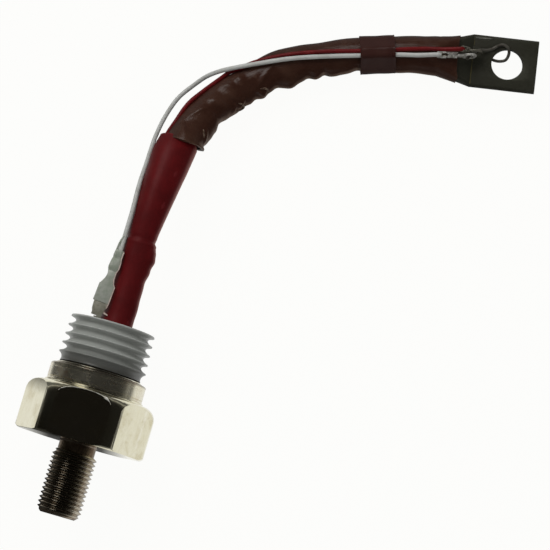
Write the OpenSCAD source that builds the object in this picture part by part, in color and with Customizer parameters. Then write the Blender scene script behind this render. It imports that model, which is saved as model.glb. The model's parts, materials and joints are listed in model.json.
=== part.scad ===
// Stud thyristor with a flexible cathode lead, lying on a flat of its hexagon base.
// Millimetres. The stud points along -Y, the lead leaves along +Y, Z is up.
// The origin is the middle of the hexagon flat that rests on the table.

/* [Stud] */
// Outside diameter of the mounting stud (half-inch fine thread)
stud_d = 12.7; // [10:0.1:16]
// Length of the stud below the seating face
stud_l = 21; // [16:0.5:30]
// Diameter of the plain relief next to the seating face
relief_d = 10.6; // [9:0.1:12]
// Length of the plain relief
relief_l = 3.2; // [1:0.1:5]
// Chamfer on the end of the stud
stud_chamfer = 1.3; // [0.5:0.1:2]

/* [Hexagon base] */
// Width of the hexagon across its flats
hex_af = 34; // [32:0.5:42]
// Height of the hexagon along the stud axis
hex_h = 14.8; // [10:0.1:20]
// Diameter to which the corners of the hexagon are turned
hex_turn_d = 37.4; // [36:0.1:39]
// Height of the turned rounding on the lead side of the hexagon
crown_h = 2.7; // [1:0.1:4]
// Height of the chamfer on the stud side of the hexagon
foot_chamfer = 1.2; // [0.4:0.1:2]
// Diameter of the raised round step on top of the hexagon
step_d = 28.8; // [28:0.1:30]
// Height of the raised round step
step_h = 0.6; // [0.3:0.1:1.2]
// Height of the pedestal above the step
pedestal_h = 1; // [0.5:0.1:2]

/* [Case] */
// Outside diameter of the weld ring
ring_d = 27.8; // [27:0.1:28.4]
// Height of the weld ring
ring_h = 5; // [4.4:0.1:7]
// Wall of the weld ring below its rolled lip
ring_wall = 2.7; // [2:0.1:3.2]
// Diameter of the lower flange of the insulator
flange_d = 25; // [24:0.1:26.4]
// Thickness of the lower flange
flange_t = 0.5; // [0.3:0.05:0.8]
// Thickness of the brazing ring between flange and ceramic
braze_t = 0.45; // [0.3:0.05:0.8]

/* [Ceramic insulator] */
// Number of fins
fins = 5; // [3:1:6]
// Distance from one fin to the next
fin_pitch = 2.64; // [2:0.02:3]
// Diameter over the lowest fin
fin_low_d = 25.4; // [24:0.1:26]
// Diameter over the top fin
fin_top_d = 24.4; // [23:0.1:26]
// Depth of the scallops between the fins
fin_depth = 1.45; // [0.8:0.05:1.8]
// Height of the plain foot below the lowest fin
foot_rise = 2.5; // [1.5:0.1:4]
// Diameter of the bore inside the insulator
bore_d = 17.4; // [15.6:0.1:18.4]
// Thickness of the closed top
top_wall = 2.6; // [1.5:0.1:4]

/* [Chip and clamping stack] */
// Thickness of the lower molybdenum disc
lower_disc_t = 1.4; // [0.8:0.1:2]
// Thickness of the silicon wafer
wafer_t = 0.6; // [0.4:0.05:1]
// Diameter of the silicon wafer
wafer_d = 18; // [16:0.1:20]
// Thickness of the upper molybdenum disc
upper_disc_t = 1; // [0.6:0.1:1.6]
// Thickness of the foot of the cathode contact
contact_t = 2; // [1.4:0.1:3]
// Diameter of the stem of the cathode contact
stem_d = 6; // [5:0.1:6.4]
// Diameter of the gate passage in the cathode contact
gate_bore_d = 3; // [2.6:0.1:3.4]
// Thickness of the mica washer
mica_t = 0.4; // [0.2:0.05:0.8]
// Thickness of the steel thrust washer
thrust_t = 0.8; // [0.5:0.1:1.4]
// Inside diameter of the disc springs and washers
spring_id = 8.6; // [8.2:0.1:9.4]
// Thickness of each disc spring
spring_t = 0.55; // [0.4:0.05:0.8]
// Cone height of each disc spring
spring_cone = 0.35; // [0.2:0.05:0.6]
// Wall of the spring retainer
retainer_wall = 0.5; // [0.4:0.05:0.6]
// Thickness of the lip and flange of the spring retainer
retainer_lip = 0.8; // [0.5:0.1:1]

/* [Cathode terminal] */
// Sideways offset of the cathode terminal from the stud axis
cathode_x = 0.8; // [0:0.1:1.2]
// Outside diameter of the crimped cathode tube
tube_d = 7.2; // [6.6:0.1:7.4]
// Wall of the cathode tube
tube_wall = 0.7; // [0.5:0.05:0.8]
// Diameter of the flange brazed to the ceramic
tube_flange_d = 9.2; // [8.6:0.1:9.6]
// Thickness of that flange
tube_flange_t = 0.35; // [0.2:0.05:0.6]
// Depth of the pressed crimp grooves
crimp_depth = 0.3; // [0.1:0.05:0.4]

/* [Gate terminal] */
// Sideways offset of the gate terminal from the stud axis
gate_x = 5.1; // [4.8:0.1:5.4]
// Height of the gate terminal above the stud axis
gate_up = 3.5; // [3.2:0.1:3.8]
// Lean of the gate terminal towards the lead
gate_lean = 4; // [3:0.5:5]
// Width of the gate blade
blade_w = 2.8; // [2.4:0.1:3]
// Thickness of the gate blade
blade_t = 0.5; // [0.4:0.05:0.8]
// Length of the gate blade
blade_l = 6.6; // [6:0.1:7]
// Sheet thickness of the push-on receptacle
sheet_t = 0.3; // [0.2:0.05:0.4]
// Length of the curled channel of the receptacle
channel_l = 6.4; // [5:0.1:6.8]

/* [Leads] */
// Diameter of the stranded cathode rope
rope_d = 7.3; // [6.6:0.1:7.4]
// Diameter of the gate and auxiliary wires over their insulation
wire_d = 1.3; // [1.1:0.05:1.4]
// Diameter of the bare conductor in those wires
core_d = 0.6; // [0.4:0.05:0.8]
// Diameter of the tie wire in the lug
tie_d = 0.7; // [0.5:0.05:1]

/* [Lug] */
// Width of the flat palm
palm_w = 15.5; // [14:0.1:17]
// Thickness of the flat palm
palm_t = 2.2; // [1.8:0.1:3.2]
// Diameter of the bolt hole
lug_hole_d = 9.2; // [6.4:0.1:9.6]
// Distance from the hole to the free end of the palm
palm_end = 8.5; // [7:0.1:12]
// Distance from the hole back to the start of the palm
palm_back = 10.4; // [9:0.1:12]
// Diameter of the round barrel
barrel_d = 10; // [9.8:0.1:10.2]
// Length of the round barrel
barrel_l = 6; // [4:0.1:8]
// Length of the taper from barrel to palm
taper_l = 9.8; // [8:0.1:12]

/* [End terminals] */
// Outside diameter of the eyelets
eyelet_d = 5.6; // [5:0.1:6]
// Hole in the eyelets
eyelet_hole_d = 3.2; // [2.4:0.1:3.4]
// Sheet thickness of the eyelets
eyelet_t = 0.7; // [0.5:0.1:1]

/* [Hidden] */
$fn = 96;

// Running clearance between parts that slip into each other
clear = 0.05;
// Circumradius of a twelve-sided tube whose sides clear a circle of radius 1
wrap = 1 / cos(15);

// Heights along the stud axis, measured from the middle of the hexagon
axis_h = hex_af / 2;
seat = -hex_h / 2;
base_top = hex_h / 2;
step_top = base_top + step_h;
chip_seat = step_top + pedestal_h;
wafer_seat = chip_seat + lower_disc_t;
upper_seat = wafer_seat + wafer_t;
contact_seat = upper_seat + upper_disc_t;
mica_seat = contact_seat + contact_t;
thrust_seat = mica_seat + mica_t;
spring_seat = thrust_seat + thrust_t;
spring_h = spring_t + spring_cone;
spring_top = spring_seat + 3 * spring_h;
ring_top = step_top + ring_h;
foot = ring_top + flange_t + braze_t;
fin_0 = foot + foot_rise;
case_top = fin_0 + (fins - 1) * fin_pitch + 0.3;
ceiling = case_top - top_wall;
stem_top = spring_top + retainer_lip + 0.4;
tube_start = ceiling - 0.5;
sleeve_seat = case_top + tube_flange_t;

// Radii shared by pieces that fit each other
bore_r = bore_d / 2;
ring_bore_r = ring_d / 2 - ring_wall;
lip_r = ring_bore_r - 0.6;
lip_h = 0.6;
tube_r = tube_d / 2;
tube_bore_r = tube_r - tube_wall;
rope_r = rope_d / 2;
wire_r = wire_d / 2;
core_r = core_d / 2;
retainer_r = bore_r - 0.2;
braid_r = tube_bore_r - 0.3;

// Diameters of the stack, from the wafer and from the bore
disc_d = wafer_d + 0.4;
pedestal_d = disc_d + 0.4;
spring_d = 2 * (retainer_r - retainer_wall) - 0.8;
contact_d = spring_d - 0.8;
upper_disc_d = contact_d + 0.4;

// Gate lead inside the case: bore, slot in the stem, then up beside the springs
slot_w = 1.1;
bore_top = mica_seat + 2;
inner_x = 3.6;

// Gate terminal: where the blade stands and where its wire is gripped
eyelet_r = 0.85;
eyelet_flange_t = 0.3;
blade_seat = case_top + eyelet_flange_t;
blade_start = 0.6;
channel_start = 2.8;
grip_1 = 13;
grip_2 = 17.4;

// Heading of the lug and the place of its bolt hole
lug_angle = 9;
lug_at = [87.9, 133.7, barrel_d / 2 + 0.5];

// Places of the two eyelets on the ends of the wires
gate_eye = [78.2, 132.65, 9.8];
aux_eye = [79, 134.45, 9.8];

// Route of the rope from the crimp to the lug, laid down from the case to the table
route = [[cathode_x, 42, 17], [cathode_x, 52, 17], [0.9, 60, 16.8], [1.7, 68, 15.7], [2.4, 76, 14],
    [3.8, 84, 11.8], [6.2, 92, 9.4], [9.8, 99.2, 7.4], [15, 106, 5.9], [21.5, 112.2, 5.3],
    [29, 117.2, 5.2], [37, 121.2, 5.2], [46, 125, 5.45], [55, 127.9, 5.45],
    [58.8, 129, 5.5], [61.6, 129.6, 5.5], [67.8, 130.5, 5.5], [73.6, 131.5, 5.5]];
// Route of the white gate wire, from the receptacle to its end terminal
gate_route = [[-4.2, 41.2, 20.5], [-3.95, 45, 20.5], [-3.9, 45.6, 20.5], [-3.7, 48.6, 20.5],
    [-3.8, 54, 20], [-3.9, 60, 19.2], [-4.4, 68, 17.3], [-5, 76, 13],
    [-5.4, 84, 8.4], [-4.5, 92.4, 4.2], [-2, 99, 1.6], [1.2, 103.5, 1.6],
    [4.3, 106.6, 5], [7.8, 107.9, 8.8], [10.6, 109.2, 10.2], [15, 111.8, 10.8],
    [27, 117.2, 11.3], [37, 120.7, 11.2], [46, 123.5, 11.1], [56.5, 126.7, 11.15],
    [62.5, 128, 12], [66.8, 129.2, 12.8], [70, 130.2, 12]];
// Route of the red auxiliary wire, from the crimp mouth to its end terminal
aux_route = [[-2.2, 53, 18.1], [-2.6, 60, 17.2], [-2.6, 68, 16], [-2, 76, 14.4],
    [-1.8, 84, 12.4], [0, 90, 12.9], [1.9, 96.3, 11.3], [5.3, 101.8, 10],
    [8.5, 106.4, 8.7], [10.5, 109.2, 8], [13.1, 110.9, 8.9], [18, 114.4, 9.5],
    [26.2, 118.5, 10.2], [37, 122.3, 10.8], [46, 124.9, 11.1], [56.5, 128.3, 11.15],
    [62, 129.9, 12], [68, 131.8, 12.8], [73, 133.05, 13.75], [74.2, 133.4, 13.5], [76.2, 133.85, 11.96]];
// Route of the tie wire, through both eyelets and down into the bolt hole
tie_route = [[77.9, 131.2, 9.9], gate_eye, aux_eye, [79.1, 135.7, 9.3],
    [80.3, 136.7, 8.2], [82.4, 136.9, 7.3], [84, 138, 7.02], [85.6, 138.8, 7], [87.2, 138.4, 7.02],
    [87.7, 137.3, 6.6], [87.5, 136.4, 5.6], [86.9, 135.5, 5.1], [85.8, 134.8, 4.95], [84.3, 134.6, 4.95]];

function unit(v) = v / norm(v);

// Direction of a route at point i
function heading(p, i) = unit(p[min(i + 1, len(p) - 1)] - p[max(i - 1, 0)]);

// Ring of points round a route; its section is a circle, or a slot with a straight half-width
function ring(at, dir, r, straight, sides, ref) =
    let (across = unit(cross(ref, dir)), up = cross(dir, across))
    [for (k = [0:sides - 1])
        let (a = 360 * (k + 0.5) / sides)
        at + across * (r * cos(a) + straight * sign(round(cos(a) * 1000))) + up * r * sin(a)];

// Faces of the skin between ring i and ring i + 1
function skin(i, n, first, flip) = [for (k = [0:n - 1])
    let (a = first + i * n + k, b = first + i * n + (k + 1) % n)
    flip ? [a + n, b + n, b, a] : [a, b, b + n, a + n]];

// Solid tube along a route, with one radius per point
module cord(p, radii, sides = 8, ref = [0, 0, 1]) {
    n = len(p);
    points = [for (i = [0:n - 1]) each ring(p[i], heading(p, i), radii[i], 0, sides, ref)];
    faces = concat([for (i = [0:n - 2]) each skin(i, sides, 0, false)],
        [[for (k = [sides - 1:-1:0]) k]],
        [[for (k = [0:sides - 1]) (n - 1) * sides + k]]);
    polyhedron(points, faces, convexity = 6);
}

// Hollow tube along a route, with outer and inner radii and a straight half-width per point
module sleeve(p, outer, inner, straight, sides = 12, ref = [0, 0, 1]) {
    n = len(p);
    last = n - 1;
    half = n * sides;
    points = concat(
        [for (i = [0:last]) each ring(p[i], heading(p, i), outer[i], straight[i], sides, ref)],
        [for (i = [0:last]) each ring(p[i], heading(p, i), inner[i], straight[i], sides, ref)]);
    faces = concat(
        [for (i = [0:n - 2]) each skin(i, sides, 0, false)],
        [for (i = [0:n - 2]) each skin(i, sides, half, true)],
        [for (k = [0:sides - 1]) let (m = (k + 1) % sides) [m, k, half + k, half + m]],
        [for (k = [0:sides - 1]) let (m = (k + 1) % sides, e = last * sides)
            [e + k, e + m, half + e + m, half + e + k]]);
    polyhedron(points, faces, convexity = 8);
}

// Lays a piece that was modelled along +Z down along +Y at the height of the stud axis
module lay() {
    translate([0, 0, axis_h]) rotate([-90, 0, 0]) children();
}

// Flat ring standing on a height
module washer(z, t, outer_d, inner_d) {
    translate([0, 0, z]) difference() {
        cylinder(h = t, d = outer_d);
        translate([0, 0, -1]) cylinder(h = t + 2, d = inner_d);
    }
}

// Hexagon base and stud, turned from one bar
module stud_base() {
    turn_r = hex_turn_d / 2;
    crown = [for (a = [0:22.5:90]) [turn_r - crown_h * 1.2 * (1 - cos(a)), base_top - crown_h * (1 - sin(a))]];
    color([0.86, 0.85, 0.80]) lay() {
        intersection() {
            translate([0, 0, seat]) cylinder(h = hex_h, d = hex_af / cos(30), $fn = 6);
            rotate_extrude() polygon(concat(
                [[0, seat], [turn_r - foot_chamfer * 1.3, seat], [turn_r, seat + foot_chamfer]],
                crown,
                [[0, base_top]]));
        }
        translate([0, 0, base_top]) cylinder(h = step_h, d = step_d);
        translate([0, 0, step_top]) cylinder(h = pedestal_h, d = pedestal_d);
        translate([0, 0, seat - relief_l]) cylinder(h = relief_l, d = relief_d);
        translate([0, 0, seat - stud_l + stud_chamfer]) {
            cylinder(h = stud_l - stud_chamfer - relief_l, d = stud_d);
        }
        rotate_extrude() polygon([[0, seat - stud_l], [stud_d / 2 - stud_chamfer, seat - stud_l],
            [stud_d / 2, seat - stud_l + stud_chamfer], [0, seat - stud_l + stud_chamfer]]);
    }
}

// Ring welded to the base; its lip is rolled over the flange of the spring retainer
module weld_ring() {
    r = ring_d / 2;
    color([0.62, 0.60, 0.55]) lay() rotate_extrude() polygon([
        [ring_bore_r, step_top], [r, step_top], [r, ring_top - 0.4], [r - 0.4, ring_top],
        [lip_r, ring_top], [lip_r, ring_top - lip_h], [ring_bore_r, ring_top - lip_h]]);
}

// Thin flange under the insulator
module lower_flange() {
    color([0.85, 0.84, 0.80]) lay() washer(ring_top, flange_t, flange_d, bore_d + 0.4);
}

// Brazing ring between the flange and the ceramic
module braze_ring() {
    color([0.40, 0.38, 0.33]) lay() washer(ring_top + flange_t, braze_t, flange_d - 2.6, bore_d + 0.4);
}

// Radius over fin i
function fin_r(i) = (fin_low_d + (fin_top_d - fin_low_d) * i / (fins - 1)) / 2;

// Scalloped flank from a lower edge up to an upper edge
function scallop(r0, z0, r1, z1, depth) = [for (f = [1:-1 / 6:0])
    [r1 + (r0 - r1) * f - depth * sin(180 * pow(f, 0.8)), z1 + (z0 - z1) * f]];

// Ceramic insulator: a cup with five sharp-edged fins, open below
module ceramic_insulator() {
    land = 0.14;
    foot_r = fin_r(0) - 0.85;
    outline = concat(
        [[bore_r, foot]],
        scallop(foot_r, foot, fin_r(0), fin_0 - land, fin_depth * 0.35),
        [for (i = [0:fins - 2]) each scallop(fin_r(i), fin_0 + i * fin_pitch + land,
            fin_r(i + 1), fin_0 + (i + 1) * fin_pitch - land, fin_depth)],
        [[fin_r(fins - 1), case_top - 0.16], [fin_r(fins - 1) - 0.16, case_top],
            [0, case_top], [0, ceiling], [bore_r, ceiling]]);
    color([0.80, 0.82, 0.81]) lay() difference() {
        rotate_extrude() polygon(outline);
        translate([cathode_x, 0, ceiling - 1]) cylinder(h = top_wall + 2, r = tube_r + clear);
        translate([-gate_x, -gate_up, ceiling - 1]) cylinder(h = top_wall + 2, r = eyelet_r + clear);
    }
}

// Molybdenum disc between the base and the wafer
module lower_moly_disc() {
    color([0.55, 0.56, 0.58]) lay() {
        translate([0, 0, chip_seat]) cylinder(h = lower_disc_t, d = disc_d);
    }
}

// Silicon wafer with its bevelled edge
module silicon_wafer() {
    r = wafer_d / 2;
    color([0.30, 0.32, 0.38]) lay() rotate_extrude() polygon([[0, wafer_seat], [r, wafer_seat],
        [r - 0.5, wafer_seat + wafer_t], [0, wafer_seat + wafer_t]]);
}

// Molybdenum disc on the wafer, with the gate hole
module upper_moly_disc() {
    color([0.60, 0.61, 0.63]) lay() washer(upper_seat, upper_disc_t, upper_disc_d, gate_bore_d);
}

// Plastic ring that centres the chip on the base
module centring_ring() {
    color([0.92, 0.92, 0.88]) lay() {
        washer(step_top, upper_seat - step_top, 2 * (ring_bore_r - clear), pedestal_d + 4 * clear);
    }
}

// Copper contact: a pressed foot and a stem with the gate passage
module cathode_contact() {
    color([0.78, 0.48, 0.30]) lay() difference() {
        union() {
            translate([0, 0, contact_seat]) cylinder(h = contact_t, d = contact_d);
            translate([0, 0, mica_seat]) cylinder(h = stem_top - mica_seat, d = stem_d);
        }
        translate([0, 0, contact_seat - 1]) cylinder(h = bore_top - contact_seat + 1, d = gate_bore_d);
        translate([-stem_d, -slot_w / 2, bore_top - slot_w]) cube([stem_d, slot_w, slot_w]);
    }
}

// Mica washer that insulates the clamp
module mica_washer() {
    color([0.80, 0.76, 0.62]) lay() washer(mica_seat, mica_t, contact_d, spring_id);
}

// Hard washer under the springs
module thrust_washer() {
    color([0.50, 0.51, 0.52]) lay() washer(thrust_seat, thrust_t, spring_d, spring_id);
}

// One conical disc spring; up tells whether its rim or its hole is at the bottom
module disc_spring(z, up) {
    ri = spring_id / 2;
    ro = spring_d / 2;
    rim = up ? 0 : spring_cone;
    eye = up ? spring_cone : 0;
    color([0.35, 0.36, 0.38]) lay() translate([0, 0, z]) rotate_extrude() {
        polygon([[ri, eye], [ro, rim], [ro, rim + spring_t], [ri, eye + spring_t]]);
    }
}

module disc_spring_lower() {
    disc_spring(spring_seat, true);
}

module disc_spring_middle() {
    disc_spring(spring_seat + spring_h, false);
}

module disc_spring_upper() {
    disc_spring(spring_seat + 2 * spring_h, true);
}

// Steel cup that holds the springs down; its flange is trapped in the weld ring
module spring_retainer() {
    inner = retainer_r - retainer_wall;
    flange_z = ring_top - lip_h - retainer_lip;
    top = spring_top + retainer_lip;
    color([0.66, 0.67, 0.68]) lay() rotate_extrude() polygon([
        [inner, flange_z], [ring_bore_r - clear, flange_z],
        [ring_bore_r - clear, flange_z + retainer_lip], [retainer_r, flange_z + retainer_lip],
        [retainer_r, top], [spring_id / 2, top], [spring_id / 2, spring_top], [inner, spring_top]]);
}

// Gate pin that touches the middle of the wafer
module gate_pin() {
    color([0.86, 0.80, 0.62]) lay() {
        translate([0, 0, upper_seat]) cylinder(h = 2.4, r = 0.4);
        translate([0, 0, upper_seat + 1.2]) cylinder(h = 0.6, r = 1);
    }
}

// Insulating bush round the gate pin
module gate_bush() {
    color([0.93, 0.93, 0.90]) lay() {
        washer(upper_seat, bore_top - slot_w - 0.1 - upper_seat, gate_bore_d - 2 * clear, 2.2);
    }
}

// Coil spring that presses the gate pin down
module gate_spring() {
    turns = 4;
    steps = 40;
    wire = 0.15;
    start = upper_seat + 1.8 + wire;
    rise = bore_top - slot_w - 0.1 - wire - start;
    coil = [for (i = [0:steps]) [0.72 * cos(360 * turns * i / steps),
        0.72 * sin(360 * turns * i / steps), start + rise * i / steps]];
    color([0.72, 0.73, 0.74]) lay() cord(coil, [for (i = [0:steps]) wire], 6);
}

// Insulated wire from the gate spring through the slot to the gate eyelet
module gate_inner_lead() {
    z0 = bore_top - slot_w - 0.1;
    z1 = bore_top - slot_w / 2;
    path = [[0, 0, z0], [0, 0, z0 + 0.3], [-0.3, 0, z1 - 0.1], [-0.9, 0, z1], [-3.2, 0, z1],
        [-inner_x, 0, z1 + 0.4], [-inner_x, 0, stem_top], [-4.3, -2, ceiling - 2.6],
        [-gate_x, -gate_up, ceiling - 0.4], [-gate_x, -gate_up, ceiling + 0.1]];
    color([0.92, 0.92, 0.90]) lay() {
        cord(path, [0.9, 0.6, 0.35, 0.35, 0.35, 0.35, 0.35, 0.35, 0.35, 0.35], 8, [0, 1, 0]);
    }
}

// Short braid from the contact up into the crimped tube
module inner_braid() {
    path = [[0, 0, stem_top], [0, 0, stem_top + 0.7], [cathode_x, 0, tube_start - 0.6],
        [cathode_x, 0, tube_start + 1], [cathode_x, 0, route[0].y]];
    color([0.80, 0.50, 0.32]) lay() cord(path, [for (p = path) braid_r], 12, [0, 1, 0]);
}

// Tube brazed through the ceramic and crimped on the rope
module cathode_tube() {
    groove = [for (a = [0:30:180]) [tube_r + 0.02 - crimp_depth * sin(a), -0.9 * cos(a)]];
    color([0.74, 0.72, 0.66]) lay() translate([cathode_x, 0, 0]) difference() {
        union() {
            translate([0, 0, tube_start]) cylinder(h = route[1].y - tube_start, r = tube_r);
            translate([0, 0, case_top]) cylinder(h = tube_flange_t, d = tube_flange_d);
        }
        translate([0, 0, tube_start - 1]) {
            cylinder(h = route[1].y - tube_start + 2, r = tube_bore_r);
        }
        for (z = [route[0].y - 5, route[0].y, route[0].y + 5]) {
            translate([0, 0, z]) rotate_extrude() polygon(concat(groove, [[tube_r + 1, 0.9], [tube_r + 1, -0.9]]));
        }
    }
}

// Flanged eyelet brazed into the ceramic for the gate
module gate_eyelet() {
    color([0.80, 0.79, 0.74]) lay() translate([-gate_x, -gate_up, 0]) difference() {
        union() {
            translate([0, 0, tube_start]) cylinder(h = case_top - tube_start, r = eyelet_r);
            translate([0, 0, case_top]) cylinder(h = eyelet_flange_t, r = 1.5);
        }
        translate([0, 0, tube_start - 1]) cylinder(h = top_wall + 4, r = 0.5);
    }
}

// Places the gate blade and what is pushed on it, leaning towards the lead
module gate_place() {
    lay() translate([-gate_x, -gate_up, blade_seat]) rotate([0, gate_lean, 0]) children();
}

// Flat gate blade with its foot pin and bent tail
module gate_tab() {
    color([0.70, 0.70, 0.66]) {
        lay() translate([-gate_x, -gate_up, ceiling + 0.1]) {
            cylinder(h = blade_seat - ceiling + 0.6, r = 0.45);
        }
        gate_place() {
            translate([-blade_w / 2, -blade_t / 2, blade_start]) cube([blade_w, blade_t, blade_l - 0.5]);
            translate([-blade_w / 2 + 0.5, -blade_t / 2, blade_start]) cube([blade_w - 1, blade_t, blade_l]);
            translate([blade_w / 2 - 0.5, -blade_t / 2, blade_start + 1.6]) {
                rotate([0, 120, 0]) cube([0.5, blade_t, 2.1]);
            }
        }
    }
}

// Outline of a crimp barrel: two lobes side by side
module lobes(r, spread) {
    translate([-spread, 0]) circle(r);
    translate([spread, 0]) circle(r);
}

// Push-on receptacle: curled channel, neck, wire crimp and insulation crimp
module gate_receptacle() {
    curl_r = 0.5;
    curl_x = blade_w / 2 + clear;
    back = -blade_t / 2 - clear;
    curl_y = back + curl_r;
    color([0.72, 0.74, 0.70]) gate_place() {
        translate([0, 0, channel_start]) linear_extrude(channel_l) {
            translate([-curl_x, back - sheet_t]) square([2 * curl_x, sheet_t]);
            for (s = [-1, 1]) difference() {
                translate([s * curl_x, curl_y]) circle(curl_r + sheet_t);
                translate([s * curl_x, curl_y]) circle(curl_r);
                translate([s > 0 ? 0 : -curl_x, back]) square([curl_x, blade_t + 2 * clear]);
            }
        }
        translate([-1.2, back - sheet_t, channel_start + channel_l]) {
            cube([2.4, sheet_t, grip_1 - channel_start - channel_l]);
        }
        translate([0, 0, grip_1]) linear_extrude(3.8) difference() {
            lobes(1, 0.6);
            lobes(0.65, 0.5);
        }
        translate([-0.8, back - sheet_t, grip_1 + 3.8]) cube([1.6, sheet_t, grip_2 - grip_1 - 3.8]);
        translate([0, 0, grip_2]) linear_extrude(3) difference() {
            circle(wire_r + 0.38);
            circle(wire_r + clear);
        }
    }
}

// Stranded copper rope of the cathode lead
module cathode_rope() {
    grip = tube_bore_r - clear;
    radii = [for (i = [0:len(route) - 2]) i < 2 ? grip : i == 2 ? rope_r - 0.45 : rope_r];
    color([0.76, 0.46, 0.30]) cord([for (i = [0:len(route) - 2]) route[i]], radii, 12);
}

// Red silicone sleeve over the crimp and the first stretch of rope
module red_sleeve() {
    path = concat([for (y = [sleeve_seat, 31, 44, 48, 51, 53]) [cathode_x, y, axis_h]],
        [[0.95, 60, 16.8], [1.3, 68, 15.7], [1.8, 76, 14], [2.5, 84, 11.8]]);
    fit = (tube_r + 0.02) * wrap;
    inner = [fit, fit, fit, fit, fit, fit, 4.1, 4.8, 5.3, 5.35];
    outer = [fit + 0.55, fit + 0.3, fit + 0.3, fit + 0.7, fit + 0.7, fit + 0.35, 4.6, 5.25, 5.75, 5.85];
    color([0.42, 0.09, 0.10]) sleeve(path, outer, inner, [for (p = path) 0]);
}

// Brown shrink sleeve from the red sleeve to the lug, flared over the lug
module brown_sleeve() {
    path = concat([[4.4, 84.4, 11.7]], [for (i = [6:len(route) - 1]) route[i]]);
    grip = barrel_d / 2 * wrap + 0.03;
    inner = [4.6, 4.7, 4.5, 4.4, 4.3, 4.3, 4.3, 4.3, 4.3, 4.5, grip, grip, 3.2];
    outer = [5.2, 5.4, 5.25, 5.1, 5, 4.9, 4.9, 4.9, 4.9, 5.1, grip + 0.35, grip + 0.35, 3.5];
    straight = [0, 0, 0, 0, 0, 0, 0, 0, 0, 0, 0, 0.1, 3.6];
    color([0.25, 0.13, 0.11]) sleeve(path, outer, inner, straight);
}

// Short brown tube shrunk round the lead and both wires
module tie_band() {
    middle = (route[12] + route[13]) / 2;
    turn = atan2(route[13].y - route[12].y, route[13].x - route[12].x);
    color([0.28, 0.15, 0.13]) translate([middle.x, middle.y, middle.z]) rotate([90, 0, turn + 90]) {
        translate([0, 0, -5.1]) linear_extrude(10.2) difference() {
            band_outline(0.4);
            band_outline(0);
        }
    }
}

// Section of the band: a circle round the sleeve, drawn out over the two wires
module band_outline(wall) {
    hull() {
        circle(5.02 + wall, $fn = 32);
        translate([-1.5, 5.65]) circle(wire_r + 0.15 + wall, $fn = 16);
        translate([0, 5.65]) circle(wire_r + 0.15 + wall, $fn = 16);
    }
}

// White gate wire, bare where the crimps grip its core
module gate_lead() {
    n = len(gate_route);
    color([0.88, 0.88, 0.86]) cord(gate_route, [for (i = [0:n - 1]) i < 2 || i == n - 1 ? core_r : wire_r]);
}

// Red auxiliary cathode wire, bare under the red sleeve
module aux_lead() {
    n = len(aux_route);
    color([0.55, 0.08, 0.08]) cord(aux_route, [for (i = [0:n - 1]) i < 2 || i == n - 1 ? core_r : wire_r]);
}

// Places the lug by its bolt hole
module lug_place() {
    translate(lug_at) rotate([0, 0, lug_angle]) children();
}

// Slab with rounded long edges, as a flattened tube has
module flattened(x, l) {
    translate([x, 0, 0]) rotate([0, 90, 0]) linear_extrude(l) {
        square([palm_t, palm_w - palm_t], center = true);
        translate([0, palm_w / 2 - palm_t / 2]) circle(palm_t / 2, $fn = 32);
        translate([0, palm_t / 2 - palm_w / 2]) circle(palm_t / 2, $fn = 32);
    }
}

// Round bar along +X on the axis of the lug
module along(x, l, d, sides = 96) {
    translate([x, 0, 0]) rotate([0, 90, 0]) cylinder(h = l, d = d, $fn = sides);
}

// Tinned lug: round barrel, taper and a palm flattened on the axis, with the bolt hole
module cable_lug() {
    taper_x = -palm_back - taper_l;
    color([0.46, 0.46, 0.42]) lug_place() difference() {
        union() {
            flattened(-palm_back, palm_back + palm_end);
            hull() {
                flattened(-palm_back, 0.01);
                along(taper_x, 0.01, barrel_d, 32);
            }
            along(taper_x - barrel_l, barrel_l, barrel_d);
        }
        translate([0, 0, -palm_t]) cylinder(h = 2 * palm_t, d = lug_hole_d);
        along(taper_x - barrel_l - 1, barrel_l + 1, rope_d + 0.2);
    }
}

// Eyelet terminal along +X from its crimp: the hole is at the origin and the sheet stands on edge
module eyelet_terminal(reach, grip_l) {
    rotate([90, 0, 0]) translate([0, 0, -eyelet_t / 2]) difference() {
        union() {
            cylinder(h = eyelet_t, d = eyelet_d);
            translate([grip_l - reach, -0.9, 0]) cube([reach - grip_l - eyelet_hole_d / 2, 1.8, eyelet_t]);
        }
        translate([0, 0, -1]) cylinder(h = eyelet_t + 2, d = eyelet_hole_d);
    }
    translate([-reach, 0, 0]) rotate([0, 90, 0]) linear_extrude(grip_l) difference() {
        circle(1.05);
        circle(wire_r + clear);
    }
}

// Eyelet terminal on the end of the white wire
module gate_end_terminal() {
    color([0.74, 0.75, 0.72]) translate(gate_eye) rotate([0, 14.3, 16.9]) eyelet_terminal(11.3, 5.8);
}

// Eyelet terminal on the end of the red wire, turned down on the lug
module aux_end_terminal() {
    color([0.70, 0.71, 0.68]) translate(aux_eye) rotate([0, 37, 12]) eyelet_terminal(5.1, 2.4);
}

// Thin wire that ties both eyelets to the lug
module tie_wire() {
    color([0.40, 0.37, 0.30]) cord(tie_route, [for (i = [1:len(tie_route)]) tie_d / 2], 8, [0, 0, 1]);
}

stud_base();
weld_ring();
lower_flange();
braze_ring();
ceramic_insulator();
lower_moly_disc();
silicon_wafer();
upper_moly_disc();
centring_ring();
cathode_contact();
mica_washer();
thrust_washer();
disc_spring_lower();
disc_spring_middle();
disc_spring_upper();
spring_retainer();
gate_pin();
gate_bush();
gate_spring();
gate_inner_lead();
inner_braid();
cathode_tube();
gate_eyelet();
gate_tab();
gate_receptacle();
cathode_rope();
red_sleeve();
brown_sleeve();
tie_band();
gate_lead();
aux_lead();
cable_lug();
gate_end_terminal();
aux_end_terminal();
tie_wire();
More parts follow.
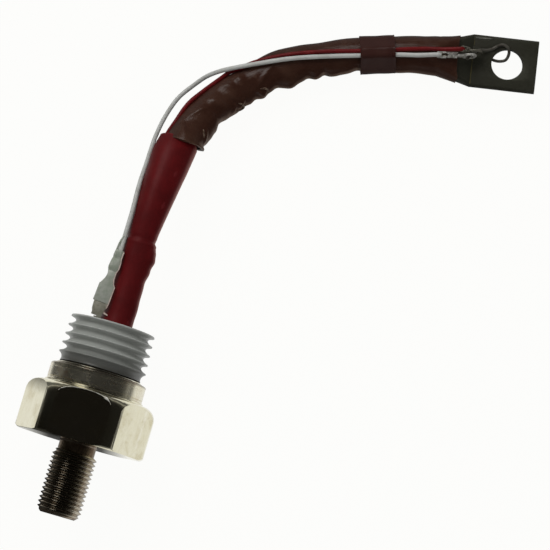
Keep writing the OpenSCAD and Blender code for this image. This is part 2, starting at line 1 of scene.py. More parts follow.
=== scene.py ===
"""Looks of a stud-mounted thyristor with a flexible, sleeved cathode lead.

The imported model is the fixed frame. Every piece here is built in row-frame
millimetres and written to its mesh in metres, so each object sits at the origin.
+Y runs along the stud axis towards the lead and +Z is up from the table.
"""
import sys
import json
import logging
import math
from dataclasses import dataclass, field
from enum import Enum
from typing import Callable, Iterable, Sequence

import bmesh
import bpy
import numpy as np
from mathutils import Matrix, Vector

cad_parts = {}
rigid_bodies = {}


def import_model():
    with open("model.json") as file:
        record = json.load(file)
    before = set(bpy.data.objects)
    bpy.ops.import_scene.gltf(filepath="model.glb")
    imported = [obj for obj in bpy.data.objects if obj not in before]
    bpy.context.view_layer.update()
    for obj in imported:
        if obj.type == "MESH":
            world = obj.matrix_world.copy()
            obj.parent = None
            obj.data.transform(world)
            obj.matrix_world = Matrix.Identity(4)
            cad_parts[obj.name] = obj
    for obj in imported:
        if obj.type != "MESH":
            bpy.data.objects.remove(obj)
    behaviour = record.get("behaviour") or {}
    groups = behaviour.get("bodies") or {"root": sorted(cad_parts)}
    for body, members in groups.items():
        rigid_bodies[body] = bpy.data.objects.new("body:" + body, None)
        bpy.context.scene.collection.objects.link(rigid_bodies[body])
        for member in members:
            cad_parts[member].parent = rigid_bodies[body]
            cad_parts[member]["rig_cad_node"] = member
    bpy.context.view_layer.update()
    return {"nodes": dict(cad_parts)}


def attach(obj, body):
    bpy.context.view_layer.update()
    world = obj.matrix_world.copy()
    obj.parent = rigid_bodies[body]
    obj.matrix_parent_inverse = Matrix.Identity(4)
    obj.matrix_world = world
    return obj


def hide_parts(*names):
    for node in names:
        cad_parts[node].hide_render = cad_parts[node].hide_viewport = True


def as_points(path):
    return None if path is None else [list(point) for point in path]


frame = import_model()

MM = 0.001
BODY = "root"
AXIS_H = 17.0
LOG = logging.getLogger("thyristor")
# Points nearer than this, in mm, become one
MERGE = 1e-4
# Direction that the painted pale sheen on the sleeves' grazing edges faces
PAINTED_SHEEN_SIDE = (0.9, -0.4, -0.1)

Point = tuple[float, float, float]
Colour = tuple[float, float, float]


# Materials

class Grain(Enum):
    """Fine relief that a finish carries."""

    TURNED = "turned"
    DRAWN = "drawn"
    CAST = "cast"
    MOULDED = "moulded"


class Wires:
    """Adds and links the nodes of one tree."""

    def __init__(self, tree: bpy.types.NodeTree) -> None:
        """Keeps the tree.

        Args:
            tree: the node tree that the calls add to.
        """
        self.tree = tree

    def add(self, kind: str, **inputs: object) -> bpy.types.Node:
        """Adds a node and sets its properties and sockets.

        Args:
            kind: the node's bl_idname.
            inputs: a property by its name, or a socket by its name with
                spaces as underscores; a socket as value is linked.

        Returns:
            The new node.
        """
        node = self.tree.nodes.new(kind)
        for key, value in inputs.items():
            if key[:2] == "in" and key[2:].isdigit():
                socket = node.inputs[int(key[2:])]
            elif hasattr(node, key) and key not in {"inputs", "outputs"}:
                setattr(node, key, value)
                continue
            else:
                socket = node.inputs[key.replace("_", " ")]
            if isinstance(value, bpy.types.NodeSocket):
                self.tree.links.new(value, socket)
            else:
                socket.default_value = value
        return node

    def math(self, operation: str, a: object, b: object = 0.0, clamp: bool = False) -> bpy.types.NodeSocket:
        """Returns the output of a Math node on a and b."""
        node = self.add("ShaderNodeMath", operation=operation, use_clamp=clamp, in0=a, in1=b)
        return node.outputs[0]

    def mix(self, factor: object, a: object, b: object) -> bpy.types.NodeSocket:
        """Returns the output of a colour Mix node."""
        node = self.add("ShaderNodeMix", data_type="RGBA", in0=factor, in6=a, in7=b)
        return node.outputs[2]

    def remap(self, value: object, low: float, high: float, to_low: float,
              to_high: float) -> bpy.types.NodeSocket:
        """Returns value taken linearly from one range to another, clamped."""
        node = self.add("ShaderNodeMapRange", in0=value, in1=low, in2=high, in3=to_low, in4=to_high)
        return node.outputs[0]


Opened = tuple[bpy.types.NodeTree, Wires, bpy.types.Node, bpy.types.Node]


class EffectGroups:
    """Shader node groups that the finishes share, each built once."""

    def __init__(self) -> None:
        """Builds all groups."""
        self.blotches = self._blotches()
        self.grain = self._grain()
        self.turning = self._turning()
        self.edges = self._edge_and_hollow_masks()

    @staticmethod
    def _open(name: str, inputs: Sequence[tuple[str, str, object]], outputs: Sequence[str]) -> Opened:
        """Starts a group.

        Args:
            name: the group's name.
            inputs: name, socket type and default of each input.
            outputs: names of the float outputs.

        Returns:
            The tree, its wires, its input node and its output node.
        """
        tree = bpy.data.node_groups.new(name, "ShaderNodeTree")
        for label, kind, default in inputs:
            socket = tree.interface.new_socket(name=label, in_out="INPUT", socket_type=kind)
            if default is not None:
                socket.default_value = default
        for label in outputs:
            tree.interface.new_socket(name=label, in_out="OUTPUT", socket_type="NodeSocketFloat")
        wires = Wires(tree)
        return tree, wires, wires.add("NodeGroupInput"), wires.add("NodeGroupOutput")

    def _blotches(self) -> bpy.types.NodeTree:
        """Soft patches of stain or wear: Mask from 0 to 1.

        Returns:
            The group.
        """
        tree, wires, given, out = self._open(
            "blotches",
            [("Vector", "NodeSocketVector", None), ("Scale", "NodeSocketFloat", 200.0),
             ("Threshold", "NodeSocketFloat", 0.5), ("Softness", "NodeSocketFloat", 0.15)],
            ["Mask", "Cloud"])
        noise = wires.add("ShaderNodeTexNoise", Vector=given.outputs["Vector"], Scale=given.outputs["Scale"],
                          Detail=4.0, Roughness=0.6, Distortion=0.4)
        low = wires.math("SUBTRACT", given.outputs["Threshold"], given.outputs["Softness"])
        high = wires.math("ADD", given.outputs["Threshold"], given.outputs["Softness"])
        node = wires.add("ShaderNodeMapRange", interpolation_type="SMOOTHSTEP", in0=noise.outputs[0], in1=low,
                         in2=high, in3=0.0, in4=1.0)
        tree.links.new(node.outputs[0], out.inputs["Mask"])
        tree.links.new(noise.outputs[0], out.inputs["Cloud"])
        return tree

    def _grain(self) -> bpy.types.NodeTree:
        """Fine relief, stretched by the three numbers of Stretch.

        Returns:
            The group.
        """
        tree, wires, given, out = self._open(
            "stretched_grain",
            [("Vector", "NodeSocketVector", None), ("Stretch", "NodeSocketVector", (1.0, 1.0, 1.0)),
             ("Detail", "NodeSocketFloat", 3.0)],
            ["Height"])
        scaled = wires.add("ShaderNodeVectorMath", operation="MULTIPLY", in0=given.outputs["Vector"],
                           in1=given.outputs["Stretch"])
        noise = wires.add("ShaderNodeTexNoise", Vector=scaled.outputs[0], Scale=1.0,
                          Detail=given.outputs["Detail"], Roughness=0.62)
        tree.links.new(noise.outputs[0], out.inputs["Height"])
        return tree

    def _turning(self) -> bpy.types.NodeTree:
        """Lathe marks round the stud axis, on faces and on cylinders alike.

        Returns:
            The group.
        """
        tree, wires, given, out = self._open(
            "turning_marks",
            [("Vector", "NodeSocketVector", None), ("Lines", "NodeSocketFloat", 6000.0)],
            ["Height"])
        moved = wires.add("ShaderNodeVectorMath", operation="SUBTRACT", in0=given.outputs["Vector"],
                          in1=(0.0, 0.0, AXIS_H * MM))
        parts = wires.add("ShaderNodeSeparateXYZ", Vector=moved.outputs[0])
        x2 = wires.math("MULTIPLY", parts.outputs[0], parts.outputs[0])
        z2 = wires.math("MULTIPLY", parts.outputs[2], parts.outputs[2])
        radius = wires.math("SQRT", wires.math("ADD", x2, z2))
        u = wires.math("MULTIPLY", radius, given.outputs["Lines"])
        v = wires.math("MULTIPLY", parts.outputs[1], given.outputs["Lines"])
        both = wires.add("ShaderNodeCombineXYZ", X=u, Y=v, Z=0.0)
        noise = wires.add("ShaderNodeTexNoise", Vector=both.outputs[0], Scale=1.0, Detail=2.0, Roughness=0.7)
        tree.links.new(noise.outputs[0], out.inputs["Height"])
        return tree

    def _edge_and_hollow_masks(self) -> bpy.types.NodeTree:
        """Edge colour masks: Mask rises where the surface is convex, partly rubbed wear and partly painted
        highlight; Hollow rises where it is concave, a painted shade.

        Returns:
            The group.
        """
        tree, wires, given, out = self._open(
            "worn_lit_edges_shaded_hollows",
            [("Vector", "NodeSocketVector", None), ("Amount", "NodeSocketFloat", 1.0)],
            ["Mask", "Hollow"])
        geometry = wires.add("ShaderNodeNewGeometry")
        noise = wires.add("ShaderNodeTexNoise", Vector=given.outputs["Vector"], Scale=900.0, Detail=3.0)
        edge = wires.remap(geometry.outputs["Pointiness"], 0.51, 0.58, 0.0, 1.0)
        broken = wires.math("MULTIPLY", edge, wires.remap(noise.outputs[0], 0.35, 0.6, 0.2, 1.0))
        total = wires.math("MULTIPLY", broken, given.outputs["Amount"], clamp=True)
        tree.links.new(total, out.inputs["Mask"])
        tree.links.new(wires.remap(geometry.outputs["Pointiness"], 0.495, 0.455, 0.0, 0.75),
                       out.inputs["Hollow"])
        return tree


@dataclass(frozen=True)
class Finish:
    """One finish of the part, how it ages, and the light and shade painted into its colour.

    Scales are per metre and bump_depth is in metres.
    """

    slot: str
    base: Colour
    second: Colour
    patch: tuple[float, float, float] = (220.0, 0.5, 0.15)
    metallic: float = 0.0
    rough: tuple[float, float] = (0.4, 0.55)
    grain: Grain = Grain.MOULDED
    stretch: tuple[float, float, float] = (2500.0, 2500.0, 2500.0)
    bump: float = 0.15
    bump_depth: float = 0.0001
    grain_tint: float = 0.0
    # edge: colour of convex edges, partly rubbed wear and partly painted highlight
    edge: Colour | None = None
    edge_amount: float = 0.6
    # hollow: colour of a painted shade in concave hollows
    hollow: Colour | None = None
    coat: float = 0.0
    coat_rough: float = 0.2
    sheen: float = 0.0
    by_uv: bool = False
    specular: float = 0.5
    worn: float = 0.0
    # rim: colour of a painted pale sheen on grazing edges that face one side
    rim: Colour | None = None
    # Two places along the stud axis and the colour of a painted shade that darkens towards one end
    painted_axial_shade: tuple[float, float, Colour] | None = None

    def material(self, groups: EffectGroups, name: str) -> bpy.types.Material:
        """Builds the finish.

        Args:
            groups: the shared effect groups.
            name: the material's name.

        Returns:
            The new material.
        """
        made = bpy.data.materials.new(name)
        made.use_nodes = True
        tree = made.node_tree
        wires = Wires(tree)
        shader = tree.nodes["Principled BSDF"]
        place = wires.add("ShaderNodeTexCoord")
        solid = place.outputs["Object"]
        along = place.outputs["UV"] if self.by_uv else solid
        patches = wires.add("ShaderNodeGroup", node_tree=groups.blotches, Vector=solid, Scale=self.patch[0],
                            Threshold=self.patch[1], Softness=self.patch[2])
        if self.grain is Grain.TURNED:
            relief = wires.add("ShaderNodeGroup", node_tree=groups.turning, Vector=solid,
                               Lines=self.stretch[0])
        else:
            detail = {Grain.DRAWN: 2.0, Grain.CAST: 5.0, Grain.MOULDED: 3.0}[self.grain]
            relief = wires.add("ShaderNodeGroup", node_tree=groups.grain, Vector=along, Stretch=self.stretch,
                               Detail=detail)
        height = relief.outputs["Height"]
        colour = wires.mix(patches.outputs["Mask"], (*self.base, 1.0), (*self.second, 1.0))
        if self.grain_tint:
            shade = wires.remap(height, 0.35, 0.65, 0.0, self.grain_tint)
            colour = wires.mix(shade, colour, (*self.second, 1.0))
        # Convex edges take the edge colour: partly rubbed wear, partly painted highlight on lips, ridges and
        # edges.
        if self.edge:
            edge_highlight_and_hollow_shade = wires.add("ShaderNodeGroup", node_tree=groups.edges, Vector=solid, Amount=self.edge_amount)
            # Painted shade: concave hollows, as between the ceramic's fins, turn darker.
            if self.hollow:
                colour = wires.mix(edge_highlight_and_hollow_shade.outputs["Hollow"], colour, (*self.hollow, 1.0))
            colour = wires.mix(edge_highlight_and_hollow_shade.outputs["Mask"], colour, (*self.edge, 1.0))
            if self.worn:
                dull = wires.remap(edge_highlight_and_hollow_shade.outputs["Mask"], 0.0, 1.0, self.metallic,
                                   self.metallic * (1 - self.worn))
                tree.links.new(dull, shader.inputs["Metallic"])
        # Painted shade: darker towards one end along the stud axis.
        if self.painted_axial_shade:
            low, high, shade_colour = self.painted_axial_shade
            above = wires.add("ShaderNodeSeparateXYZ", Vector=solid).outputs[1]
            colour = wires.mix(wires.remap(above, low, high, 0.9, 0.0), colour, (*shade_colour, 1.0))
        # Painted sheen: grazing edges that face one side turn pale, with less specular and coat there.
        if self.rim:
            grazing = wires.add("ShaderNodeLayerWeight", Blend=0.5).outputs["Facing"]
            side = wires.add("ShaderNodeVectorMath", operation="DOT_PRODUCT", in0=place.outputs["Normal"],
                             in1=PAINTED_SHEEN_SIDE).outputs["Value"]
            share = wires.math("MULTIPLY", wires.remap(grazing, 0.4, 0.9, 0.0, 1.0),
                               wires.remap(side, 0.1, 0.7, 0.0, 1.0))
            colour = wires.mix(share, colour, (*self.rim, 1.0))
            shine = wires.remap(side, 0.0, 0.6, self.specular, self.specular * 0.3)
            tree.links.new(shine, shader.inputs["Specular IOR Level"])
            if self.coat:
                tree.links.new(wires.remap(side, 0.0, 0.6, self.coat, 0.04), shader.inputs["Coat Weight"])
        rough = wires.remap(patches.outputs["Cloud"], 0.3, 0.7, self.rough[0], self.rough[1])
        bump = wires.add("ShaderNodeBump", Strength=self.bump, Distance=self.bump_depth, Height=height)
        tree.links.new(colour, shader.inputs["Base Color"])
        tree.links.new(rough, shader.inputs["Roughness"])
        tree.links.new(bump.outputs[0], shader.inputs["Normal"])
        shader.inputs["Metallic"].default_value = self.metallic
        shader.inputs["Coat Weight"].default_value = self.coat
        shader.inputs["Coat Roughness"].default_value = self.coat_rough
        if self.coat:
            tree.links.new(bump.outputs[0], shader.inputs["Coat Normal"])
        shader.inputs["Sheen Weight"].default_value = self.sheen
        shader.inputs["Specular IOR Level"].default_value = self.specular
        return made


FINISHES = {
    "nickel": Finish("nickel_plate", (0.72, 0.69, 0.53), (0.60, 0.55, 0.38), patch=(170.0, 0.58, 0.12),
                     metallic=1.0, rough=(0.11, 0.18), grain=Grain.DRAWN, stretch=(1500.0, 220.0, 1500.0),
                     bump=0.16, bump_depth=0.00003, grain_tint=0.25, edge=(0.86, 0.84, 0.76),
                     edge_amount=0.5),
    "core": Finish("nickel_plate", (0.26, 0.20, 0.14), (0.13, 0.085, 0.055), patch=(330.0, 0.5, 0.15),
                   metallic=0.9, rough=(0.26, 0.4), grain=Grain.CAST, stretch=(2200.0, 2200.0, 2200.0),
                   bump=0.15, bump_depth=0.00003, edge=(0.5, 0.45, 0.36), edge_amount=0.6),
    "thread": Finish("nickel_plate", (0.32, 0.28, 0.22), (0.22, 0.17, 0.12), patch=(330.0, 0.54, 0.15),
                     metallic=1.0, rough=(0.14, 0.24), grain=Grain.CAST, stretch=(2200.0, 2200.0, 2200.0),
                     bump=0.03, bump_depth=0.00003, edge=(0.55, 0.51, 0.43), edge_amount=0.35),
    # Weld ring: darker at its top, beneath the flange, as painted shade.
    "weld_ring": Finish("nickel_plate", (0.76, 0.73, 0.58), (0.50, 0.38, 0.26), patch=(260.0, 0.60, 0.12),
                        metallic=0.95, rough=(0.2, 0.32), grain=Grain.CAST, stretch=(1300.0, 1900.0, 1300.0),
                        bump=0.35, bump_depth=0.00004, grain_tint=0.3, edge=(0.75, 0.72, 0.62),
                        edge_amount=0.7, painted_axial_shade=(0.0129, 0.0122, (0.085, 0.06, 0.045))),
    "flange": Finish("nickel_plate", (0.72, 0.70, 0.60), (0.5, 0.45, 0.33), metallic=1.0, rough=(0.16, 0.26),
                     grain=Grain.CAST, stretch=(1800.0, 1800.0, 1800.0), bump=0.15, bump_depth=0.00003),
    "braze": Finish("braze", (0.035, 0.030, 0.022), (0.09, 0.07, 0.045), patch=(500.0, 0.55, 0.2),
                    metallic=0.4, rough=(0.5, 0.7), grain=Grain.CAST, bump=0.5),
    # Ceramic: the pale edge colour on the fin lips is a painted highlight; the dark hollow colour and the
    # darker foot are painted shade.
    "ceramic": Finish("ceramic", (0.45, 0.465, 0.44), (0.39, 0.405, 0.38), patch=(90.0, 0.52, 0.25),
                      rough=(0.32, 0.44), grain=Grain.CAST, stretch=(1300.0, 1300.0, 1300.0), bump=0.1,
                      bump_depth=0.00005, edge=(0.66, 0.68, 0.66), edge_amount=1.0,
                      hollow=(0.15, 0.155, 0.14), coat=0.1, coat_rough=0.25,
                      painted_axial_shade=(0.0142, 0.0192, (0.03, 0.028, 0.022))),
    "moly": Finish("molybdenum", (0.36, 0.37, 0.39), (0.30, 0.31, 0.33), metallic=1.0, rough=(0.3, 0.42),
                   grain=Grain.TURNED, stretch=(1800.0, 0.0, 0.0)),
    "silicon": Finish("silicon", (0.10, 0.11, 0.15), (0.14, 0.15, 0.19), patch=(120.0, 0.5, 0.2),
                      metallic=0.9, rough=(0.08, 0.16), bump=0.04),
    "plastic": Finish("white_plastic", (0.78, 0.78, 0.73), (0.68, 0.67, 0.60), rough=(0.42, 0.55), bump=0.1),
    "copper": Finish("copper", (0.62, 0.28, 0.15), (0.36, 0.16, 0.09), patch=(350.0, 0.52, 0.15),
                     metallic=1.0, rough=(0.28, 0.45), grain=Grain.DRAWN, stretch=(3000.0, 300.0, 3000.0),
                     bump=0.3),
    "mica": Finish("mica", (0.55, 0.49, 0.34), (0.42, 0.36, 0.24), rough=(0.18, 0.3), coat=0.4, bump=0.1),
    "spring": Finish("spring_steel", (0.20, 0.22, 0.27), (0.13, 0.14, 0.16), metallic=1.0, rough=(0.25, 0.38),
                     grain=Grain.TURNED, stretch=(1800.0, 0.0, 0.0)),
    "contact": Finish("contact_metal", (0.62, 0.57, 0.46), (0.48, 0.42, 0.32), metallic=1.0,
                      rough=(0.2, 0.32)),
    "terminal": Finish("terminal_metal", (0.46, 0.45, 0.40), (0.34, 0.32, 0.26), patch=(400.0, 0.5, 0.2),
                       metallic=1.0, rough=(0.28, 0.44), grain=Grain.DRAWN, stretch=(3000.0, 250.0, 3000.0)),
    "brass": Finish("tinned_brass", (0.54, 0.56, 0.495), (0.39, 0.435, 0.35), patch=(620.0, 0.5, 0.16),
                    metallic=0.35, rough=(0.42, 0.58), grain=Grain.CAST, stretch=(2400.0, 900.0, 2400.0),
                    bump=0.35, bump_depth=0.00006, grain_tint=0.35, edge=(0.55, 0.57, 0.52),
                    edge_amount=0.8),
    "tab": Finish("tinned_brass", (0.36, 0.345, 0.275), (0.215, 0.21, 0.16), patch=(700.0, 0.5, 0.15),
                  metallic=0.35, rough=(0.42, 0.58), grain=Grain.CAST, stretch=(2400.0, 900.0, 2400.0),
                  bump=0.5, bump_depth=0.00008, grain_tint=0.4, edge=(0.5, 0.48, 0.42), edge_amount=0.7),
    # Pale pink finish of the painted highlight strip along the receptacle's right edge and its small tail.
    "rim": Finish("tinned_brass", (0.95, 0.77, 0.69), (0.74, 0.60, 0.53), patch=(700.0, 0.5, 0.15),
                  metallic=0.3, rough=(0.4, 0.55), bump=0.2, bump_depth=0.00004),
    "mark": Finish("tinned_copper", (0.15, 0.13, 0.055), (0.08, 0.07, 0.035), patch=(600.0, 0.5, 0.15),
                   metallic=0.4, rough=(0.35, 0.5), bump=0.2, bump_depth=0.00004),
    # Near-white finish of the painted crown highlight and glint.
    "glint": Finish("nickel_plate", (0.95, 0.94, 0.88), (0.6, 0.57, 0.48), patch=(700.0, 0.5, 0.15),
                    metallic=0.2, rough=(0.25, 0.4), bump=0.2, bump_depth=0.00004),
    # Finish of the painted highlight strip on the lug palm's upper edge.
    "palm_highlight": Finish("tinned_copper", (0.42, 0.42, 0.37), (0.20, 0.20, 0.17), patch=(500.0, 0.5, 0.15),
                      metallic=0.6, rough=(0.3, 0.45), bump=0.2, bump_depth=0.00004),
    # eye is lightened to stand in for the terminal's glints, a painted highlight; eye_dull is the same tinned
    # brass without that lightening.
    "eye": Finish("tinned_brass", (0.86, 0.84, 0.79), (0.34, 0.33, 0.29), patch=(900.0, 0.52, 0.1),
                  metallic=0.35, rough=(0.3, 0.45), grain=Grain.CAST, stretch=(2400.0, 2400.0, 2400.0),
                  bump=0.4, bump_depth=0.00006, grain_tint=0.2, edge=(0.75, 0.74, 0.70), edge_amount=0.9,
                  worn=0.5),
    "eye_dull": Finish("tinned_brass", (0.19, 0.18, 0.14), (0.09, 0.085, 0.06), patch=(900.0, 0.5, 0.12),
                       metallic=0.5, rough=(0.3, 0.45), grain=Grain.CAST, stretch=(2400.0, 2400.0, 2400.0),
                       bump=0.4, bump_depth=0.00006, grain_tint=0.3, edge=(0.36, 0.34, 0.29),
                       edge_amount=0.9, worn=0.5),
    # Red sleeve: its rim colour is a painted pale sheen.
    "red": Finish("red_silicone", (0.135, 0.0065, 0.008), (0.090, 0.004, 0.005), patch=(130.0, 0.5, 0.22),
                  rough=(0.40, 0.52), stretch=(26.0, 220.0, 1.0), by_uv=True, bump=0.25, bump_depth=0.00012,
                  grain_tint=0.3, edge=(0.20, 0.022, 0.026), edge_amount=0.6, specular=0.24,
                  rim=(0.55, 0.22, 0.19)),
    # Brown sleeve: its rim colour is a painted pale sheen and its lighter edge colour a painted highlight on
    # ridges.
    "brown": Finish("brown_sleeving", (0.044, 0.016, 0.010), (0.060, 0.026, 0.016), patch=(150.0, 0.58, 0.16),
                    rough=(0.3, 0.42), stretch=(60.0, 190.0, 1.0), by_uv=True, bump=0.4, bump_depth=0.00025,
                    grain_tint=0.3, edge=(0.16, 0.10, 0.07), edge_amount=0.2, specular=0.16, coat=0.55,
                    coat_rough=0.17, rim=(0.30, 0.20, 0.15)),
    # Pale finish of the sleeve's creases: a painted highlight.
    "crease_glint": Finish("brown_sleeving", (0.21, 0.15, 0.11), (0.075, 0.04, 0.025), patch=(1100.0, 0.5, 0.1),
                     rough=(0.3, 0.42), bump=0.2, bump_depth=0.00004, specular=0.3),
    "band": Finish("brown_sleeving", (0.041, 0.0135, 0.011), (0.055, 0.021, 0.016), patch=(110.0, 0.55, 0.2),
                   rough=(0.26, 0.38), stretch=(20.0, 160.0, 1.0), by_uv=True, bump=0.2, bump_depth=0.0001,
                   grain_tint=0.2, specular=0.28),
    "white_wire": Finish("white_insulation", (0.60, 0.61, 0.59), (0.50, 0.50, 0.47),
                         patch=(260.0, 0.55, 0.15), rough=(0.32, 0.46), stretch=(9.0, 500.0, 1.0),
                         by_uv=True, bump=0.15, grain_tint=0.2),
    "red_wire": Finish("red_insulation", (0.17, 0.008, 0.009), (0.11, 0.005, 0.006), patch=(260.0, 0.5, 0.2),
                       rough=(0.3, 0.42), stretch=(9.0, 400.0, 1.0), by_uv=True, bump=0.15, grain_tint=0.2,
                       specular=0.3),
    "lug": Finish("tinned_copper", (0.047, 0.046, 0.033), (0.039, 0.038, 0.026), patch=(190.0, 0.5, 0.2),
                  metallic=0.3, rough=(0.34, 0.5), grain=Grain.CAST, stretch=(900.0, 2200.0, 2200.0),
                  bump=0.35, bump_depth=0.00008, grain_tint=0.45, edge=(0.16, 0.16, 0.12), edge_amount=0.3),
    "wire": Finish("dull_wire", (0.19, 0.18, 0.155), (0.09, 0.08, 0.065), patch=(700.0, 0.5, 0.2),
                   metallic=0.5, rough=(0.3, 0.46), grain=Grain.CAST, bump=0.3),
}


class Paintbox:
    """Materials of the part, made once each."""

    def __init__(self) -> None:
        """Builds the effect groups and every finish."""
        groups = EffectGroups()
        self.made = {name: finish.material(groups, name) for name, finish in FINISHES.items()}

    def dress(self, piece: bpy.types.Object, finish: str) -> None:
        """Gives a piece one finish.

        Args:
            piece: the object.
            finish: a name in FINISHES.
        """
        piece.data.materials.clear()
        piece.data.materials.append(self.made[finish])
        "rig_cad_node" not in piece


# Shapes

def smooth_path(points: Sequence[Point], step: float) -> tuple[np.ndarray, np.ndarray]:
    """Draws a smooth line through points.

    Args:
        points: the points, in mm.
        step: about how far apart the samples lie, in mm.

    Returns:
        The samples, and for each its place in points as a fraction.
    """
    p = np.array(points, float)
    ext = np.vstack([2 * p[0] - p[1], p, 2 * p[-1] - p[-2]])
    samples, stations = [], []
    for i in range(len(p) - 1):
        a, b, c, d = ext[i:i + 4]
        t1 = np.linalg.norm(b - a) ** 0.5
        t2 = t1 + np.linalg.norm(c - b) ** 0.5
        t3 = t2 + np.linalg.norm(d - c) ** 0.5
        count = max(1, round(float(np.linalg.norm(c - b)) / step))
        for k in range(count):
            t = t1 + (t2 - t1) * k / count
            a1 = (t1 - t) / t1 * a + t / t1 * b
            a2 = (t2 - t) / (t2 - t1) * b + (t - t1) / (t2 - t1) * c
            a3 = (t3 - t) / (t3 - t2) * c + (t - t2) / (t3 - t2) * d
            b1 = (t2 - t) / t2 * a1 + t / t2 * a2
            b2 = (t3 - t) / (t3 - t1) * a2 + (t - t1) / (t3 - t1) * a3
            samples.append((t2 - t) / (t2 - t1) * b1 + (t - t1) / (t2 - t1) * b2)
            stations.append(i + k / count)
    samples.append(p[-1])
    stations.append(len(p) - 1.0)
    return np.array(samples), np.array(stations)


def lengths(path: np.ndarray) -> np.ndarray:
    """Returns the distance along a path at each of its points."""
    return np.concatenate([[0.0], np.cumsum(np.linalg.norm(np.diff(path, axis=0), axis=1))])


def path_frames(path: np.ndarray) -> tuple[np.ndarray, np.ndarray, np.ndarray]:
    """Returns the direction, the level sideways axis and the upward axis at each point of a path.

    Args:
        path: its points, in mm.

    Returns:
        Three arrays of one unit vector for each point.
    """
    along = np.gradient(path, axis=0)
    along /= np.linalg.norm(along, axis=1)[:, None]
    across = np.cross((0.0, 0.0, 1.0), along)
    across /= np.linalg.norm(across, axis=1)[:, None]
    return along, across, np.cross(along, across)


def around(sides: int) -> np.ndarray:
    """Returns the angles of one ring's points."""
    return np.arange(sides) * 2 * math.pi / sides


def tube_rings(path: np.ndarray, radii: np.ndarray, straight: np.ndarray | float = 0.0) -> np.ndarray:
    """Lays rings round a path.

    Args:
        path: ring centres, in mm.
        radii: one radius per ring, or one per ring and angle.
        straight: half-width of the straight part of a slot-shaped ring.

    Returns:
        The rings, as rings x angles x 3.
    """
    radii = np.asarray(radii, float)
    sides = radii.shape[1]
    angle = around(sides)
    _, across, up = path_frames(path)
    wide = radii * np.cos(angle) + np.outer(np.broadcast_to(straight, len(path)),
                                            np.clip(3 * np.cos(angle), -1, 1))
    return path[:, None] + across[:, None] * wide[..., None] + up[:, None] * (radii * np.sin(angle))[...,
                                                                                                     None]


def round_rings(path: np.ndarray, radii: np.ndarray | float, sides: int) -> np.ndarray:
    """Lays plain round rings along a path, with one radius for all or one each."""
    each = np.broadcast_to(np.asarray(radii, float), len(path))
    return tube_rings(path, np.repeat(each[:, None], sides, axis=1))


def even(radii: Sequence[float], stations: np.ndarray, sides: int) -> np.ndarray:
    """Returns radii given at whole stations as one smooth radius per sample and angle."""
    line = np.interp(stations, np.arange(len(radii)), radii)
    return np.repeat(line[:, None], sides, axis=1)


def turn(points: np.ndarray, degrees: Sequence[float]) -> np.ndarray:
    """Turns points about X, then Y, then Z, by these degrees.

    Args:
        points: the points.
        degrees: the three angles.

    Returns:
        The turned points.
    """
    m = Matrix.Identity(3)
    for angle, axis in zip(degrees, "XYZ"):
        m = Matrix.Rotation(math.radians(angle), 3, axis) @ m
    return points @ np.array(m).T


def laid(points: np.ndarray) -> np.ndarray:
    """Lays points modelled along +Z down along +Y at the height of the stud axis."""
    points = np.asarray(points, float)
    return np.stack([points[..., 0], points[..., 2], AXIS_H - points[..., 1]], axis=-1)


